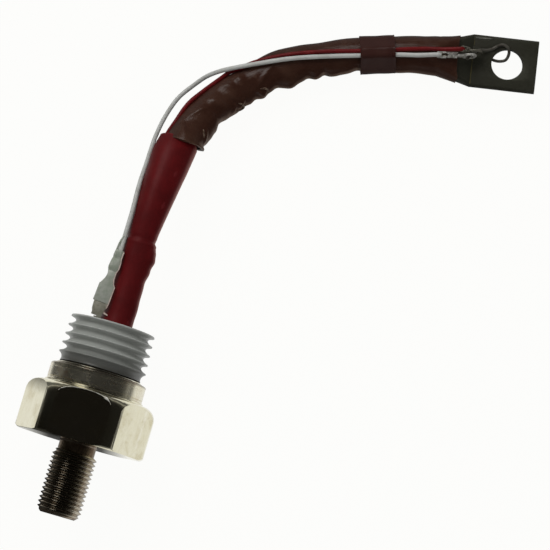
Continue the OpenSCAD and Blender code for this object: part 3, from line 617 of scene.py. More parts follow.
class Draft:
    """Points and faces of one piece, in millimetres."""

    def __init__(self) -> None:
        """Starts empty."""
        self.points: list[np.ndarray] = []
        self.count = 0
        self.faces: list[tuple[int, ...]] = []
        self.uvs: list[tuple[tuple[float, float], ...]] = []

    def add(self, points: np.ndarray) -> int:
        """Adds points and returns the number of the first.

        Args:
            points: an array of points, in mm.

        Returns:
            The number of the first.
        """
        start = self.count
        self.points.append(np.asarray(points, float).reshape(-1, 3))
        self.count += len(self.points[-1])
        return start

    def face(self, corners: Sequence[int], uv: Sequence[tuple[float, float]] | None = None) -> None:
        """Adds a face with the UV of its corners."""
        self.faces.append(tuple(corners))
        self.uvs.append(tuple(uv) if uv else ((0.0, 0.0),) * len(corners))

    def loft(self, rings: np.ndarray, caps: tuple[bool, bool] = (True, True), flip: bool = False) -> int:
        """Joins rings of equal size.

        Args:
            rings: rings x angles x 3.
            caps: whether the first and the last ring are filled.
            flip: turns the faces inwards.

        Returns:
            The number of the first point.
        """
        n, m, _ = rings.shape
        start = self.add(rings)
        run = lengths(rings.mean(axis=1))
        for i in range(n - 1):
            for k in range(m):
                j = (k + 1) % m
                a, b = start + i * m, start + (i + 1) * m
                quad = (a + k, a + j, b + j, b + k)
                v0, v1, u0, u1 = run[i] * MM, run[i + 1] * MM, k / m, (k + 1) / m
                uv = ((u0, v0), (u1, v0), (u1, v1), (u0, v1))
                self.face(quad[::-1] if flip else quad, uv[::-1] if flip else uv)
        first = [start + k for k in range(m)]
        last = [start + (n - 1) * m + k for k in range(m)]
        if caps[0]:
            self.face(first if flip else first[::-1])
        if caps[1]:
            self.face(last[::-1] if flip else last)
        return start

    def wall(self, outer: np.ndarray, inner: np.ndarray) -> None:
        """Adds a hollow tube between two equal sets of rings, closed at both ends.

        Args:
            outer: rings of the outer skin.
            inner: as many rings of the lining.
        """
        n, m, _ = outer.shape
        a = self.loft(outer, (False, False))
        b = self.loft(inner, (False, False), flip=True)
        for k in range(m):
            j = (k + 1) % m
            e = (n - 1) * m
            self.face((a + j, a + k, b + k, b + j))
            self.face((a + e + k, a + e + j, b + e + j, b + e + k))

    def lathe(self, outline: Sequence[tuple[float, float]], sides: int = 96, centre: Point = (0.0, 0.0, 0.0),
              place: Callable[[np.ndarray], np.ndarray] = laid, looped: bool = True) -> None:
        """Turns an outline of radius and height about Z.

        Args:
            outline: (radius, height) pairs in mm.
            sides: faces round the axis.
            centre: the axis' place before it is placed.
            place: what moves the points to the row frame.
            looped: whether the outline closes on itself.
        """
        pairs = list(outline) + ([outline[0]] if looped else [])
        angle = around(sides)
        rings = np.array([[(r * math.cos(a), r * math.sin(a), z) for a in angle] for r, z in pairs]) + centre
        self.loft(place(rings), (False, False))

    def slab(self, outline: Sequence[tuple[float, float]], low: float, high: float,
             place: Callable[[np.ndarray], np.ndarray]) -> None:
        """Raises a flat outline from one height to another."""
        rings = np.array([[(x, y, z) for x, y in outline] for z in (low, high)], float)
        self.loft(place(rings))

    def build(self, name: str, sharp: float = 35.0) -> bpy.types.Object:
        """Makes the object.

        Args:
            name: the piece's name.
            sharp: edges bent more than this many degrees stay sharp.

        Returns:
            The mesh object, linked to the scene, at the origin.
        """
        bm = bmesh.new()
        layer = bm.loops.layers.uv.new("UVMap")
        verts = [bm.verts.new(Vector(p) * MM) for p in np.concatenate(self.points)]
        for corners, uv in zip(self.faces, self.uvs):
            if len(set(corners)) < 3:
                continue
            try:
                made = bm.faces.new([verts[c] for c in corners])
            except ValueError:
                continue
            for loop, place in zip(made.loops, uv):
                loop[layer].uv = place
        bmesh.ops.remove_doubles(bm, verts=bm.verts, dist=MERGE * MM)
        bmesh.ops.dissolve_degenerate(bm, edges=bm.edges, dist=MERGE * MM)
        bmesh.ops.recalc_face_normals(bm, faces=bm.faces)
        return finished(bm, name, sharp)


def linked(name: str, data: bpy.types.ID) -> bpy.types.Object:
    """Makes an object of the scene.

    Args:
        name: its name.
        data: its mesh, curve, lamp or lens.

    Returns:
        The object, at the origin.
    """
    made = bpy.data.objects.new(name, data)
    bpy.context.scene.collection.objects.link(made)
    return made


def finished(bm: bmesh.types.BMesh, name: str, sharp: float) -> bpy.types.Object:
    """Turns a bmesh into an object with smooth faces and sharp edges above an angle.

    Args:
        bm: the mesh, which is freed.
        name: the piece's name.
        sharp: edges bent more than this many degrees stay sharp.

    Returns:
        The object, at the origin.
    """
    limit = math.radians(sharp)
    for made in bm.faces:
        made.smooth = True
    for edge in bm.edges:
        edge.smooth = len(edge.link_faces) == 2 and edge.calc_face_angle(0.0) < limit
    mesh = bpy.data.meshes.new(name)
    bm.to_mesh(mesh)
    bm.free()
    return linked(name, mesh)


def baked(piece: bpy.types.Object) -> bmesh.types.BMesh:
    """Runs a piece's modifiers, removes the piece and merges the doubles of the result.

    Args:
        piece: the object with its modifiers.

    Returns:
        The mesh that the modifiers give.
    """
    bpy.context.view_layer.update()
    graph = bpy.context.evaluated_depsgraph_get()
    mesh = bpy.data.meshes.new_from_object(piece.evaluated_get(graph))
    bpy.data.objects.remove(piece)
    bm = bmesh.new()
    bm.from_mesh(mesh)
    bpy.data.meshes.remove(mesh)
    bmesh.ops.remove_doubles(bm, verts=bm.verts, dist=MERGE * MM)
    return bm


def applied(piece: bpy.types.Object, sharp: float = 35.0) -> bpy.types.Object:
    """Bakes a piece's modifiers into a new plain mesh of the same name."""
    name = piece.name
    return finished(baked(piece), name, sharp)


def carve(piece: bpy.types.Object, cutter: bpy.types.Object) -> bpy.types.Object:
    """Cuts one closed piece out of another and removes the cutter.

    Args:
        piece: what is cut.
        cutter: what cuts it.

    Returns:
        The cut piece.
    """
    cut = piece.modifiers.new("cut", "BOOLEAN")
    cut.object, cut.operation, cut.solver = cutter, "DIFFERENCE", "EXACT"
    made = applied(piece)
    bpy.data.objects.remove(cutter)
    return made


def bevelled(piece: bpy.types.Object, width: float, segments: int = 2, angle: float = 35.0,
             sharp: float = 35.0) -> bpy.types.Object:
    """Rounds a piece's sharp edges and bakes the result.

    Args:
        piece: the piece.
        width: the rounding, in mm.
        segments: its steps.
        angle: edges bent more than this many degrees are rounded.
        sharp: edges that stay bent more than this look sharp.

    Returns:
        The rounded piece.
    """
    made = piece.modifiers.new("edges", "BEVEL")
    made.width, made.segments, made.limit_method = width * MM, segments, "ANGLE"
    made.angle_limit = math.radians(angle)
    made.harden_normals = False
    return applied(piece, sharp)


class GeometryTree:
    """A Geometry Nodes tree with named inputs for its sizes."""

    def __init__(self, name: str, sizes: dict[str, tuple[str, object]]) -> None:
        """Opens the tree.

        Args:
            name: the tree's name.
            sizes: for each input its socket type and value.
        """
        self.tree = bpy.data.node_groups.new(name, "GeometryNodeTree")
        self.wires = Wires(self.tree)
        face = self.tree.interface
        face.new_socket(name="Geometry", in_out="INPUT", socket_type="NodeSocketGeometry")
        self.values = {}
        for label, (kind, value) in sizes.items():
            socket = face.new_socket(name=label, in_out="INPUT", socket_type=kind)
            self.values[socket.identifier] = value
        face.new_socket(name="Geometry", in_out="OUTPUT", socket_type="NodeSocketGeometry")
        self.given = self.wires.add("NodeGroupInput").outputs
        self.out = self.wires.add("NodeGroupOutput")

    def close(self, geometry: bpy.types.NodeSocket) -> None:
        """Ends the tree in Realize Instances and Set Material.

        Args:
            geometry: the finished shape.
        """
        whole = self.wires.add("GeometryNodeRealizeInstances", Geometry=geometry)
        shaded = self.wires.add("GeometryNodeSetShadeSmooth", Geometry=whole.outputs[0], Shade_Smooth=True)
        painted = self.wires.add("GeometryNodeSetMaterial", Geometry=shaded.outputs[0],
                                 Material=self.given["Finish"])
        self.tree.links.new(painted.outputs[0], self.out.inputs["Geometry"])

    def grow(self, name: str, data: bpy.types.ID | None = None, sharp: float = 35.0) -> bpy.types.Object:
        """Runs the tree on an object and bakes the result.

        Args:
            name: the piece's name.
            data: the object's own mesh or curve, or None for an empty mesh.
            sharp: edges bent more than this many degrees stay sharp.

        Returns:
            The plain mesh piece.
        """
        seed = linked(name, data or bpy.data.meshes.new(name))
        made = seed.modifiers.new("grow", "NODES")
        made.node_group = self.tree
        for identifier, value in self.values.items():
            made[identifier] = value
        bm = baked(seed)
        bmesh.ops.recalc_face_normals(bm, faces=bm.faces)
        return finished(bm, name, sharp)


@dataclass
class Assembly:
    """A sub-assembly whose pieces take their finishes from the paintbox."""

    paint: Paintbox

    def dressed(self, piece: bpy.types.Object, finish: str) -> bpy.types.Object:
        """Gives a piece its finish and returns it."""
        self.paint.dress(piece, finish)
        return piece


# Case

@dataclass
class Case(Assembly):
    """Hexagon base with its stud, weld ring, flange, seam and insulator."""

    stud_d: float = 12.7
    stud_l: float = 21.0
    relief_d: float = 10.6
    relief_l: float = 2.9
    pitch: float = 1.27
    thread_depth: float = 0.76
    hex_af: float = 34.0
    hex_h: float = 14.8
    hex_turn_d: float = 37.4
    crown_h: float = 3.6
    crown_in: float = 3.46
    # A pale line with one bright glint painted along the crown edge, as highlights
    highlight_share: float = 0.97
    highlight_r: float = 0.05
    highlight_swell: float = 0.04
    glint_peak: float = 0.3
    glint_place: float = 5.8
    glint_spread: float = 0.65
    foot_chamfer: float = 0.6
    step_d: float = 28.8
    step_top: float = 8.0
    pedestal_d: float = 18.8
    chip_seat: float = 9.0
    ring_d: float = 27.8
    ring_bore: float = 22.4
    lip_d: float = 21.2
    lip_h: float = 0.6
    ring_top: float = 13.0
    flange_d: float = 25.0
    flange_t: float = 0.5
    flange_dip: float = 0.06
    braze_t: float = 0.45
    bore_d: float = 17.4
    bore_clear: float = 0.2
    fins: int = 5
    fin_pitch: float = 2.64
    fin_low_d: float = 25.4
    fin_top_d: float = 24.4
    fin_depth: float = 1.68
    foot_rise: float = 2.5
    top_wall: float = 2.6
    sides: int = 144

    @property
    def seat(self) -> float:
        """Height of the seating face on the stud axis."""
        return -self.hex_h / 2

    @property
    def foot(self) -> float:
        """Height of the insulator's lower face."""
        return self.ring_top + self.flange_t + self.braze_t

    @property
    def case_top(self) -> float:
        """Height of the insulator's top."""
        return self.foot + self.foot_rise + (self.fins - 1) * self.fin_pitch + 0.3

    def turned(self, name: str, outline: Sequence[tuple[float, float]], finish: str, sharp: float = 40.0,
               looped: bool = True) -> bpy.types.Object:
        """Turns an outline about the stud axis and dresses the piece.

        Args:
            name: the piece's name.
            outline: (radius, height) pairs in mm.
            finish: a name in FINISHES.
            sharp: edges bent more than this many degrees stay sharp.
            looped: whether the outline closes on itself.

        Returns:
            The piece.
        """
        draft = Draft()
        draft.lathe(outline, self.sides, looped=looped)
        return self.dressed(draft.build(name, sharp), finish)

    def core(self) -> bpy.types.Object:
        """Plain core of the stud, with its relief and its chamfered tip.

        Returns:
            The piece.
        """
        root, tip = self.stud_d / 2 - self.thread_depth, self.seat - self.stud_l
        relief = self.seat - self.relief_l
        draft = Draft()
        draft.lathe([(0.0, tip), (root - 0.7, tip), (root - 0.1, tip + 0.5), (root, tip + 0.8),
                     (root, relief - 0.5), (self.relief_d / 2, relief), (self.relief_d / 2, self.seat - 0.3),
                     (self.relief_d / 2 + 0.3, self.seat + 0.05), (0.0, self.seat + 0.3)], 96, looped=False)
        return self.dressed(draft.build("stud_core", 40.0), "core")

    def base(self) -> bpy.types.Object:
        """Hexagon with its chamfers, its turned crown, step and pedestal, as one closed skin.

        Returns:
            The piece.
        """
        turn_r, seat, top = self.hex_turn_d / 2, self.seat, self.hex_h / 2
        angle = around(self.sides)
        from_flat = (angle - math.pi / 2 + math.pi / 6) % (math.pi / 3) - math.pi / 6
        hexagon = np.minimum(self.hex_af / 2 / np.cos(from_flat), turn_r)
        foot_in = turn_r - self.foot_chamfer * 1.3
        rings = []

        def ring(radius: float | np.ndarray, height: float | np.ndarray) -> None:
            """Adds one ring of the skin."""
            r, z = np.broadcast_to(radius, self.sides), np.broadcast_to(height, self.sides)
            rings.append(np.stack([r * np.cos(angle), r * np.sin(angle), z], axis=1))

        for r in (0.01, self.relief_d / 2, self.stud_d / 2 + 0.6):
            ring(r, seat)
        ring(np.minimum(hexagon, foot_in), seat)
        ring(hexagon, seat + self.foot_chamfer * np.clip((hexagon - foot_in) / (turn_r - foot_in), 0, 1))
        drop = np.clip(1 - (turn_r - hexagon) / self.crown_in, -1, 1)
        start = np.arccos(drop)
        for k in range(9):
            a = start + (math.pi / 2 - start) * k / 8
            ring(turn_r - self.crown_in * (1 - np.cos(a)), top - self.crown_h * (1 - np.sin(a)))
        for r, z in ((self.step_d / 2 + 0.25, top), (self.step_d / 2, top + 0.2),
                     (self.step_d / 2, self.step_top - 0.12), (self.step_d / 2 - 0.12, self.step_top),
                     (self.pedestal_d / 2, self.step_top), (self.pedestal_d / 2, self.chip_seat),
                     (0.01, self.chip_seat)):
            ring(r, z)
        draft = Draft()
        draft.loft(laid(np.array(rings)))
        piece = bevelled(draft.build("hexagon_base", 20.0), 0.13, 2, 30.0, 20.0)
        for polygon in piece.data.polygons:
            x, y, z = polygon.normal
            turned = (math.degrees(math.atan2(x, z)) + 30.0) % 60.0 - 30.0
            polygon.use_smooth = not (abs(y) < 0.01 and abs(turned) < 1.0)
        return self.dressed(piece, "nickel")

    def wear(self) -> bpy.types.Object:
        """Painted highlight: a thin pale line, with one bright painted glint, where the upper flat meets the
        crown.

        Returns:
            The piece.
        """
        half = self.highlight_share * math.sqrt((self.hex_turn_d ** 2 - self.hex_af ** 2) / 4)
        across = np.linspace(-half, half, 60)
        reach = np.hypot(across, self.hex_af / 2)
        drop = np.arccos(1 - (self.hex_turn_d / 2 - reach) / self.crown_in)
        height = self.hex_h / 2 - self.crown_h * (1 - np.sin(drop))
        path = laid(np.stack([across, np.full(60, 0.03 - self.hex_af / 2), height - 0.02], axis=1))
        glint_height = self.glint_peak * np.exp(-((across - self.glint_place) / self.glint_spread) ** 2)
        radii = self.highlight_r + self.highlight_swell * np.sin(across * 1.3) ** 2 + glint_height
        draft = Draft()
        draft.loft(round_rings(path, radii, 10))
        return self.dressed(draft.build("crown_highlight_line", 60.0), "glint")

    def thread(self) -> bpy.types.Object:
        """Half-inch fine thread: a helical ridge that runs out at both ends, grown by Geometry Nodes.

        Returns:
            The piece.
        """
        run = self.stud_l - self.relief_l - 0.6
        tree = GeometryTree("thread_ridge", {
            "Turns": ("NodeSocketFloat", run / self.pitch), "Pitch": ("NodeSocketFloat", self.pitch * MM),
            "Root Radius": ("NodeSocketFloat", (self.stud_d / 2 - self.thread_depth - 0.03) * MM),
            "Depth": ("NodeSocketFloat", (self.thread_depth + 0.03) * MM), "Steps": ("NodeSocketInt", 72),
            "Start": ("NodeSocketFloat", (self.relief_l - self.seat) * MM),
            "Finish": ("NodeSocketMaterial", self.paint.made["thread"])})
        w, given = tree.wires, tree.given
        height = w.math("MULTIPLY", given["Turns"], given["Pitch"])
        helix = w.add("GeometryNodeCurveSpiral", Resolution=given["Steps"], Rotations=given["Turns"],
                      Start_Radius=given["Root Radius"], End_Radius=given["Root Radius"], Height=height,
                      Reverse=False)
        upright = w.add("GeometryNodeSetCurveNormal", mode="Z_UP", Curve=helix.outputs[0])
        profile = w.add("GeometryNodeCurvePrimitiveQuadrilateral", mode="TRAPEZOID", Height=given["Depth"],
                        Bottom_Width=w.math("MULTIPLY", given["Pitch"], 0.93),
                        Top_Width=w.math("MULTIPLY", given["Pitch"], 0.13), Offset=0.0)
        shift = w.add("ShaderNodeCombineXYZ", X=w.math("MULTIPLY", given["Depth"], -0.5), Y=0.0, Z=0.0)
        stood = w.add("GeometryNodeTransform", Geometry=profile.outputs[0], Translation=shift.outputs[0],
                      Rotation=(0.0, 0.0, math.pi / 2))
        place = w.add("GeometryNodeSplineParameter").outputs["Factor"]
        turns = w.math("MULTIPLY", place, given["Turns"])
        left = w.math("SUBTRACT", given["Turns"], turns)
        fade = w.math("MINIMUM", w.remap(turns, 0.0, 0.4, 0.3, 1.0), w.remap(left, 0.0, 1.1, 0.35, 1.0))
        ridge = w.add("GeometryNodeCurveToMesh", Curve=upright.outputs[0], Profile_Curve=stood.outputs[0],
                      Scale=fade, Fill_Caps=True)
        shift_down = w.add("ShaderNodeCombineXYZ", X=0.0, Y=w.math("MULTIPLY", given["Start"], -1.0),
                           Z=AXIS_H * MM)
        down = w.add("GeometryNodeTransform", Geometry=ridge.outputs[0], Translation=shift_down.outputs[0],
                     Rotation=(math.pi / 2, math.pi, 0.0))
        tree.close(down.outputs[0])
        return self.dressed(tree.grow("stud_thread", sharp=75.0), "thread")

    def ring(self) -> bpy.types.Object:
        """Weld ring with its rolled lip and a fine groove.

        Returns:
            The piece.
        """
        r, low, top = self.ring_d / 2, self.step_top, self.ring_top
        outline = [(self.ring_bore / 2, low), (r - 0.05, low), (r, low + 0.06)]
        outline += [(r, low + 0.55), (r - 0.1, low + 0.65), (r - 0.1, low + 0.75), (r, low + 0.85)]
        outline += [(r, top - 1.5), (r - 0.05, top - 1.45), (r - 0.02, top - 1.3), (r - 0.02, top - 0.55)]
        outline += [(r - 0.55 + 0.55 * math.cos(a), top - 0.55 + 0.55 * math.sin(a))
                    for a in np.linspace(0.2, math.pi / 2, 7)]
        outline += [(self.flange_d / 2 + 0.25, top), (self.lip_d / 2, top),
                    (self.lip_d / 2, top - self.lip_h), (self.ring_bore / 2, top - self.lip_h)]
        return self.turned("weld_ring_turned", outline, "weld_ring")

    def flange(self) -> bpy.types.Object:
        """Thin flange with a rounded, slightly raised rim.

        Returns:
            The piece.
        """
        r, low, t = self.flange_d / 2, self.ring_top, self.flange_t
        bore = self.bore_d / 2 + self.bore_clear
        rim = [(r - t / 2 + t / 2 * math.cos(a), low + t / 2 + t / 2 * math.sin(a))
               for a in np.linspace(-math.pi / 2, math.pi / 2, 9)]
        outline = [(bore, low), *rim, (r - 0.8, low + t - self.flange_dip), (bore, low + t - self.flange_dip)]
        return self.turned("flange_disc", outline, "flange")

    def seam(self) -> bpy.types.Object:
        """Brazing seam with the hollow fillet that solder leaves.

        Returns:
            The piece.
        """
        r, t = self.flange_d / 2 - 1.3, self.braze_t + self.flange_dip
        low = self.ring_top + self.flange_t - self.flange_dip
        bore = self.bore_d / 2 + self.bore_clear
        steps = np.linspace(0, math.pi / 2, 6)
        fillet = [(r + 0.45 * (1 - math.sin(a)), low + t * (1 - math.cos(a))) for a in steps]
        return self.turned("braze_seam", [(bore, low), *fillet, (bore, low + t)], "braze")

    def fin_r(self, number: int) -> float:
        """Radius over one fin."""
        return (self.fin_low_d + (self.fin_top_d - self.fin_low_d) * number / (self.fins - 1)) / 2

    def insulator(self) -> bpy.types.Object:
        """Ceramic cup with five sharp-lipped fins and smooth hollows between them.

        Returns:
            The piece.
        """
        def hollow(r0: float, z0: float, r1: float, z1: float, depth: float) -> list[tuple[float, float]]:
            """Returns the outline of one scallop, from its lower to its upper end."""
            steps = np.linspace(1.0, 0.0, 13)
            return [(r1 + (r0 - r1) * f - depth * abs(math.sin(math.pi * f ** 0.85)) ** 0.8,
                     z1 + (z0 - z1) * f) for f in steps]

        def lip(r: float, z: float) -> list[tuple[float, float]]:
            """Returns the outline of one fin's edge."""
            return [(r + 0.02, z - 0.05), (r + 0.035, z), (r + 0.02, z + 0.05)]

        land, foot, first, top = 0.12, self.foot, self.foot + self.foot_rise, self.case_top
        outline = [(0.0, top - self.top_wall), (self.bore_d / 2, top - self.top_wall),
                   (self.bore_d / 2, foot)]
        outline += hollow(self.fin_r(0) - 0.85, foot, self.fin_r(0), first - land, self.fin_depth * 0.35)
        outline += lip(self.fin_r(0), first)
        for i in range(self.fins - 1):
            low, high = first + i * self.fin_pitch, first + (i + 1) * self.fin_pitch
            outline += hollow(self.fin_r(i), low + land, self.fin_r(i + 1), high - land, self.fin_depth)
            outline += lip(self.fin_r(i + 1), high)
        last = self.fin_r(self.fins - 1)
        outline += [(last, top - 0.18), (last - 0.06, top - 0.06), (last - 0.2, top),
                    (last - 4.0, top - 0.02), (0.0, top)]
        return self.turned("finned_insulator", outline, "ceramic", 50.0, looped=False)

    def build(self) -> Iterable[tuple[bpy.types.Object, tuple[str, ...]]]:
        """Yields each piece with the CAD nodes that it stands for."""
        yield self.base(), ("stud_base",)
        yield self.core(), ("stud_base",)
        # The crown edge's painted highlight line and glint.
        yield self.wear(), ("stud_base",)
        yield self.thread(), ("stud_base",)
        yield self.ring(), ("weld_ring",)
        yield self.flange(), ("lower_flange",)
        yield self.seam(), ("braze_ring",)
        yield self.insulator(), ("ceramic_insulator",)


# Gate terminal

@dataclass
class GateTerminal(Assembly):
    """Flat blade on the case and the receptacle pushed on it."""

    offset: Point = (-5.4, -3.5, 27.61)
    lean: float = 4.8
    blade_w: float = 2.8
    blade_t: float = 0.5
    blade_l: float = 6.6
    thick: float = 0.3
    channel: tuple[float, float] = (5.0, 10.2)
    reach: float = 1.9
    curl_r: float = 0.3
    crimp_sides: int = 40

    def place(self, points: np.ndarray) -> np.ndarray:
        """Moves points from the leaning blade's frame to the row frame."""
        return laid(turn(np.asarray(points, float), (0.0, self.lean, 0.0)) + np.array(self.offset))

    def strip(self, draft: Draft, line: Sequence[tuple[float, float]], low: float, high: float,
              thick: float = 0.3, flare: float = 0.0) -> None:
        """Adds a bent sheet: a line across, given thickness, run from one height to another.

        Args:
            draft: what takes the points.
            line: the sheet's middle line across, in mm.
            low: lower height.
            high: upper height.
            thick: the sheet's thickness.
            flare: how far both ends open out.
        """
        middle = np.array(line, float)
        slope = np.gradient(middle, axis=0)
        slope /= np.linalg.norm(slope, axis=1)[:, None]
        normal = np.stack([-slope[:, 1], slope[:, 0]], axis=1) * thick / 2
        loop = np.concatenate([middle + normal, (middle - normal)[::-1]])
        centre = middle.mean(axis=0)
        heights = [low, low + 0.18 * (high - low), high - 0.18 * (high - low), high]
        scales = [1 + flare, 1.0, 1.0, 1 + flare]
        rings = [[(*(centre + (p - centre) * s), z) for p in loop] for z, s in zip(heights, scales)]
        draft.loft(self.place(np.array(rings)))

    def sheet(self, draft: Draft, outline: Sequence[tuple[float, float]], low: float, high: float) -> None:
        """Adds a flat plate, its outline given across and along the blade, from one depth to another."""
        rings = np.array([[(x, y, z) for x, z in outline] for y in (low, high)])
        draft.loft(self.place(rings))

    def blade(self) -> bpy.types.Object:
        """Blade on its pin, with the ragged, bent foot seen below the receptacle.

        Returns:
            The piece.
        """
        w, t, l = self.blade_w / 2, self.blade_t / 2, self.blade_l
        draft = Draft()
        self.sheet(draft, [(-w, 1.0), (w, 1.0), (w, l), (w - 0.5, l + 0.6), (0.5 - w, l + 0.6), (-w, l)], -t,
                   t)
        foot = [(-1.95, 5.2), (-1.85, 3.9), (-1.7, 2.7), (-1.4, 1.8), (-0.9, 1.6), (-0.4, 1.15), (0.3, 0.9),
                (0.6, 0.2), (1.5, 0.1), (1.65, 1.3), (1.75, 2.4), (2.0, 3.3), (2.3, 4.0), (2.35, 5.2)]
        self.sheet(draft, foot, -t - 0.12, t - 0.2)
        draft.lathe([(0.0, 24.9), (0.45, 24.9), (0.45, 28.4), (0.0, 28.4)], 24,
                    (self.offset[0], self.offset[1], 0.0), looped=False)
        return self.dressed(bevelled(draft.build("gate_blade"), 0.06), "tab")

    def curl(self, side: int) -> list[tuple[float, float]]:
        """Middle line of one rolled edge of the channel, seen along the blade."""
        r, y = self.curl_r, -self.blade_t / 2 - 0.2
        return [(side * (self.reach + r * math.sin(a)), y + r - r * math.cos(a)) for a in np.linspace(0.0,
                                                                                                      4.6,
                                                                                                      15)]

    def receptacle(self) -> bpy.types.Object:
        """Push-on receptacle: channel, shoulders, neck, core crimp and insulation crimp.

        Returns:
            The piece.
        """
        back = -self.blade_t / 2 - 0.2
        half = self.thick / 2
        c0, c1 = self.channel
        draft = Draft()
        plate = [(-2.15, c0), (2.2, c0), (2.12, c1 - 0.2), (1.5, c1 + 0.6), (1.12, c1 + 1.9), (1.15, 14.4),
                 (-1.15, 14.4), (-1.1, c1 + 2.7), (-1.3, c1 + 1.7), (-2.1, c1)]
        self.sheet(draft, plate, back - half, back + half)
        for side in (-1, 1):
            self.strip(draft, self.curl(side), c0, c1, self.thick, 0.02)
        stations = ((13.6, -1.2, 1.1, 0.35), (14.3, -1.35, 1.2, 0.6), (15.0, -1.62, 1.45, 0.85),
                    (15.5, -1.7, 1.52, 0.9), (17.2, -1.6, 1.42, 0.9), (17.9, -1.45, 1.28, 0.78),
                    (18.3, -1.38, 1.15, 0.7), (18.7, -1.48, 1.15, 0.82), (19.2, -1.52, 1.15, 0.9),
                    (20.3, -1.46, 1.1, 0.9), (20.7, -1.35, 1.0, 0.8))
        angle = around(self.crimp_sides)
        cosine, sine = np.cos(angle), np.sin(angle)
        rings = []
        for z, left, right, deep in stations:
            dent = 1.0 - 0.22 * np.exp(-((cosine / 0.28) ** 2)) * (sine > 0) * (z < 18.0)
            x = (left + right) / 2 + (right - left) / 2 * np.sign(cosine) * np.abs(cosine) ** 0.55
            y = deep * np.sign(sine) * np.abs(sine) ** 0.55 * dent + 0.05
            rings.append(np.stack([x, y, np.full(self.crimp_sides, z)], axis=1))
        draft.loft(self.place(np.array(rings)))
        tongue = [(-1.4, 20.2), (-0.7, 20.2), (-0.75, 22.6), (-0.45, 24.4), (-0.4, 25.1), (-0.9, 24.6),
                  (-1.2, 23.6), (-1.35, 22.2)]
        self.sheet(draft, tongue, -0.42, -0.22)
        return self.dressed(bevelled(draft.build("gate_push_on"), 0.06), "brass")

    def rim(self) -> bpy.types.Object:
        """Pale pink strip along the channel's right-hand edge, a painted highlight, and the small hooked tail
        at its foot in the same pale finish.

        Returns:
            The piece.
        """
        c0, c1 = self.channel
        draft = Draft()
        edge = [(2.2, c0 - 1.3), (2.38, c0), (2.3, c1 - 0.2), (1.72, c1 + 0.6), (1.3, c1 + 1.9), (1.22, 14.2),
                (1.5, 15.1), (1.56, 15.6), (1.46, 17.2), (1.3, 17.9), (1.18, 18.4), (1.2, 20.4)]
        self.sheet(draft, [(x + 0.1, z) for x, z in edge] + [(x - 0.16, z) for x, z in edge[::-1]], -0.68,
                   -0.4)
        self.sheet(draft, [(1.45, 3.2), (1.8, 3.2), (2.0, 2.6), (3.2, 2.2), (3.2, 1.9), (1.8, 2.1)], -0.1,
                   0.15)
        return self.dressed(bevelled(draft.build("gate_push_on_highlight_strip"), 0.03), "rim")

    def build(self) -> Iterable[tuple[bpy.types.Object, tuple[str, ...]]]:
        """Yields each piece with the CAD node that it stands for."""
        yield self.blade(), ("gate_tab",)
        yield self.receptacle(), ("gate_receptacle",)
        yield self.rim(), ("gate_receptacle",)


# Leads

ROUTE: list[Point] = [(0.8, 42, 17), (0.8, 52, 17), (0.9, 60, 16.8), (1.7, 68, 15.7), (2.4, 76, 14),
                      (3.8, 84, 11.8), (6.2, 92, 9.4), (9.8, 99.2, 7.4), (15, 106, 5.9), (21.5, 112.2, 5.3),
                      (29, 117.2, 5.2), (37, 121.2, 5.2), (46, 125, 5.45), (55, 127.9, 5.45),
                      (58.8, 129, 5.5), (61.6, 129.6, 5.5), (67.8, 130.5, 5.5), (73.6, 131.5, 5.5)]
GATE_ROUTE: list[Point] = [(-4.2, 41.2, 20.5), (-3.95, 45, 20.5), (-3.9, 45.6, 20.5), (-3.7, 48.6, 20.5),
                           (-3.8, 54, 20), (-3.9, 60, 19.2), (-4.4, 68, 17.3), (-4.7, 76.1, 13),
                           (-5, 84.3, 8.6), (-4.3, 92, 5.2), (-2.4, 98.9, 2.9), (0.8, 103.7, 2.6),
                           (3.9, 106.7, 4.9), (7.5, 108.5, 8.2), (10.5, 109.7, 10.1), (15, 111.8, 10.8),
                           (27, 117.2, 11.3), (37, 120.7, 11.2), (46, 123.5, 11.1), (56.5, 126.7, 11.15),
                           (62.5, 128, 12), (67.9, 129.5, 12.75), (70.6, 130.35, 12)]
AUX_ROUTE: list[Point] = [(-2.2, 53, 18.1), (-2.6, 60, 17.2), (-2.6, 68, 16), (-2, 76, 14.4),
                          (-1.8, 84, 12.4), (0, 90, 12.9), (1.9, 96.3, 11.3), (5.3, 101.8, 10),
                          (8.5, 106.4, 8.7), (10.5, 109.2, 8), (13.1, 110.9, 8.9), (18, 114.4, 9.5),
                          (26.2, 118.5, 10.2), (37, 122.3, 10.8), (46, 124.9, 11.1), (63.6, 130.5, 11.15),
                          (69, 131.6, 12), (72, 132.35, 12.6), (74.2, 132.95, 12.85), (75.2, 133.2, 12.2)]
GATE_EYE: Point = (76.5, 132.2, 9.9)
AUX_EYE: Point = (77.8, 133.8, 9.9)
TIE_ROUTE: list[Point] = [
    (76.2, 131.0, 10.0), GATE_EYE, AUX_EYE, (79.4, 135.3, 8.4), (81.0, 135.9, 7.4), (82.3, 136.6, 7.1),
    (83.5, 137.8, 7.05), (85.0, 138.8, 7.05), (86.5, 138.6, 7.05), (87.4, 137.7, 6.5), (87.6, 136.4, 5.6),
    (87.1, 135.1, 5.1), (85.7, 134.4, 4.9), (84.1, 134.3, 4.5), (83.0, 134.6, 3.95), (81.9, 134.7, 3.8)]


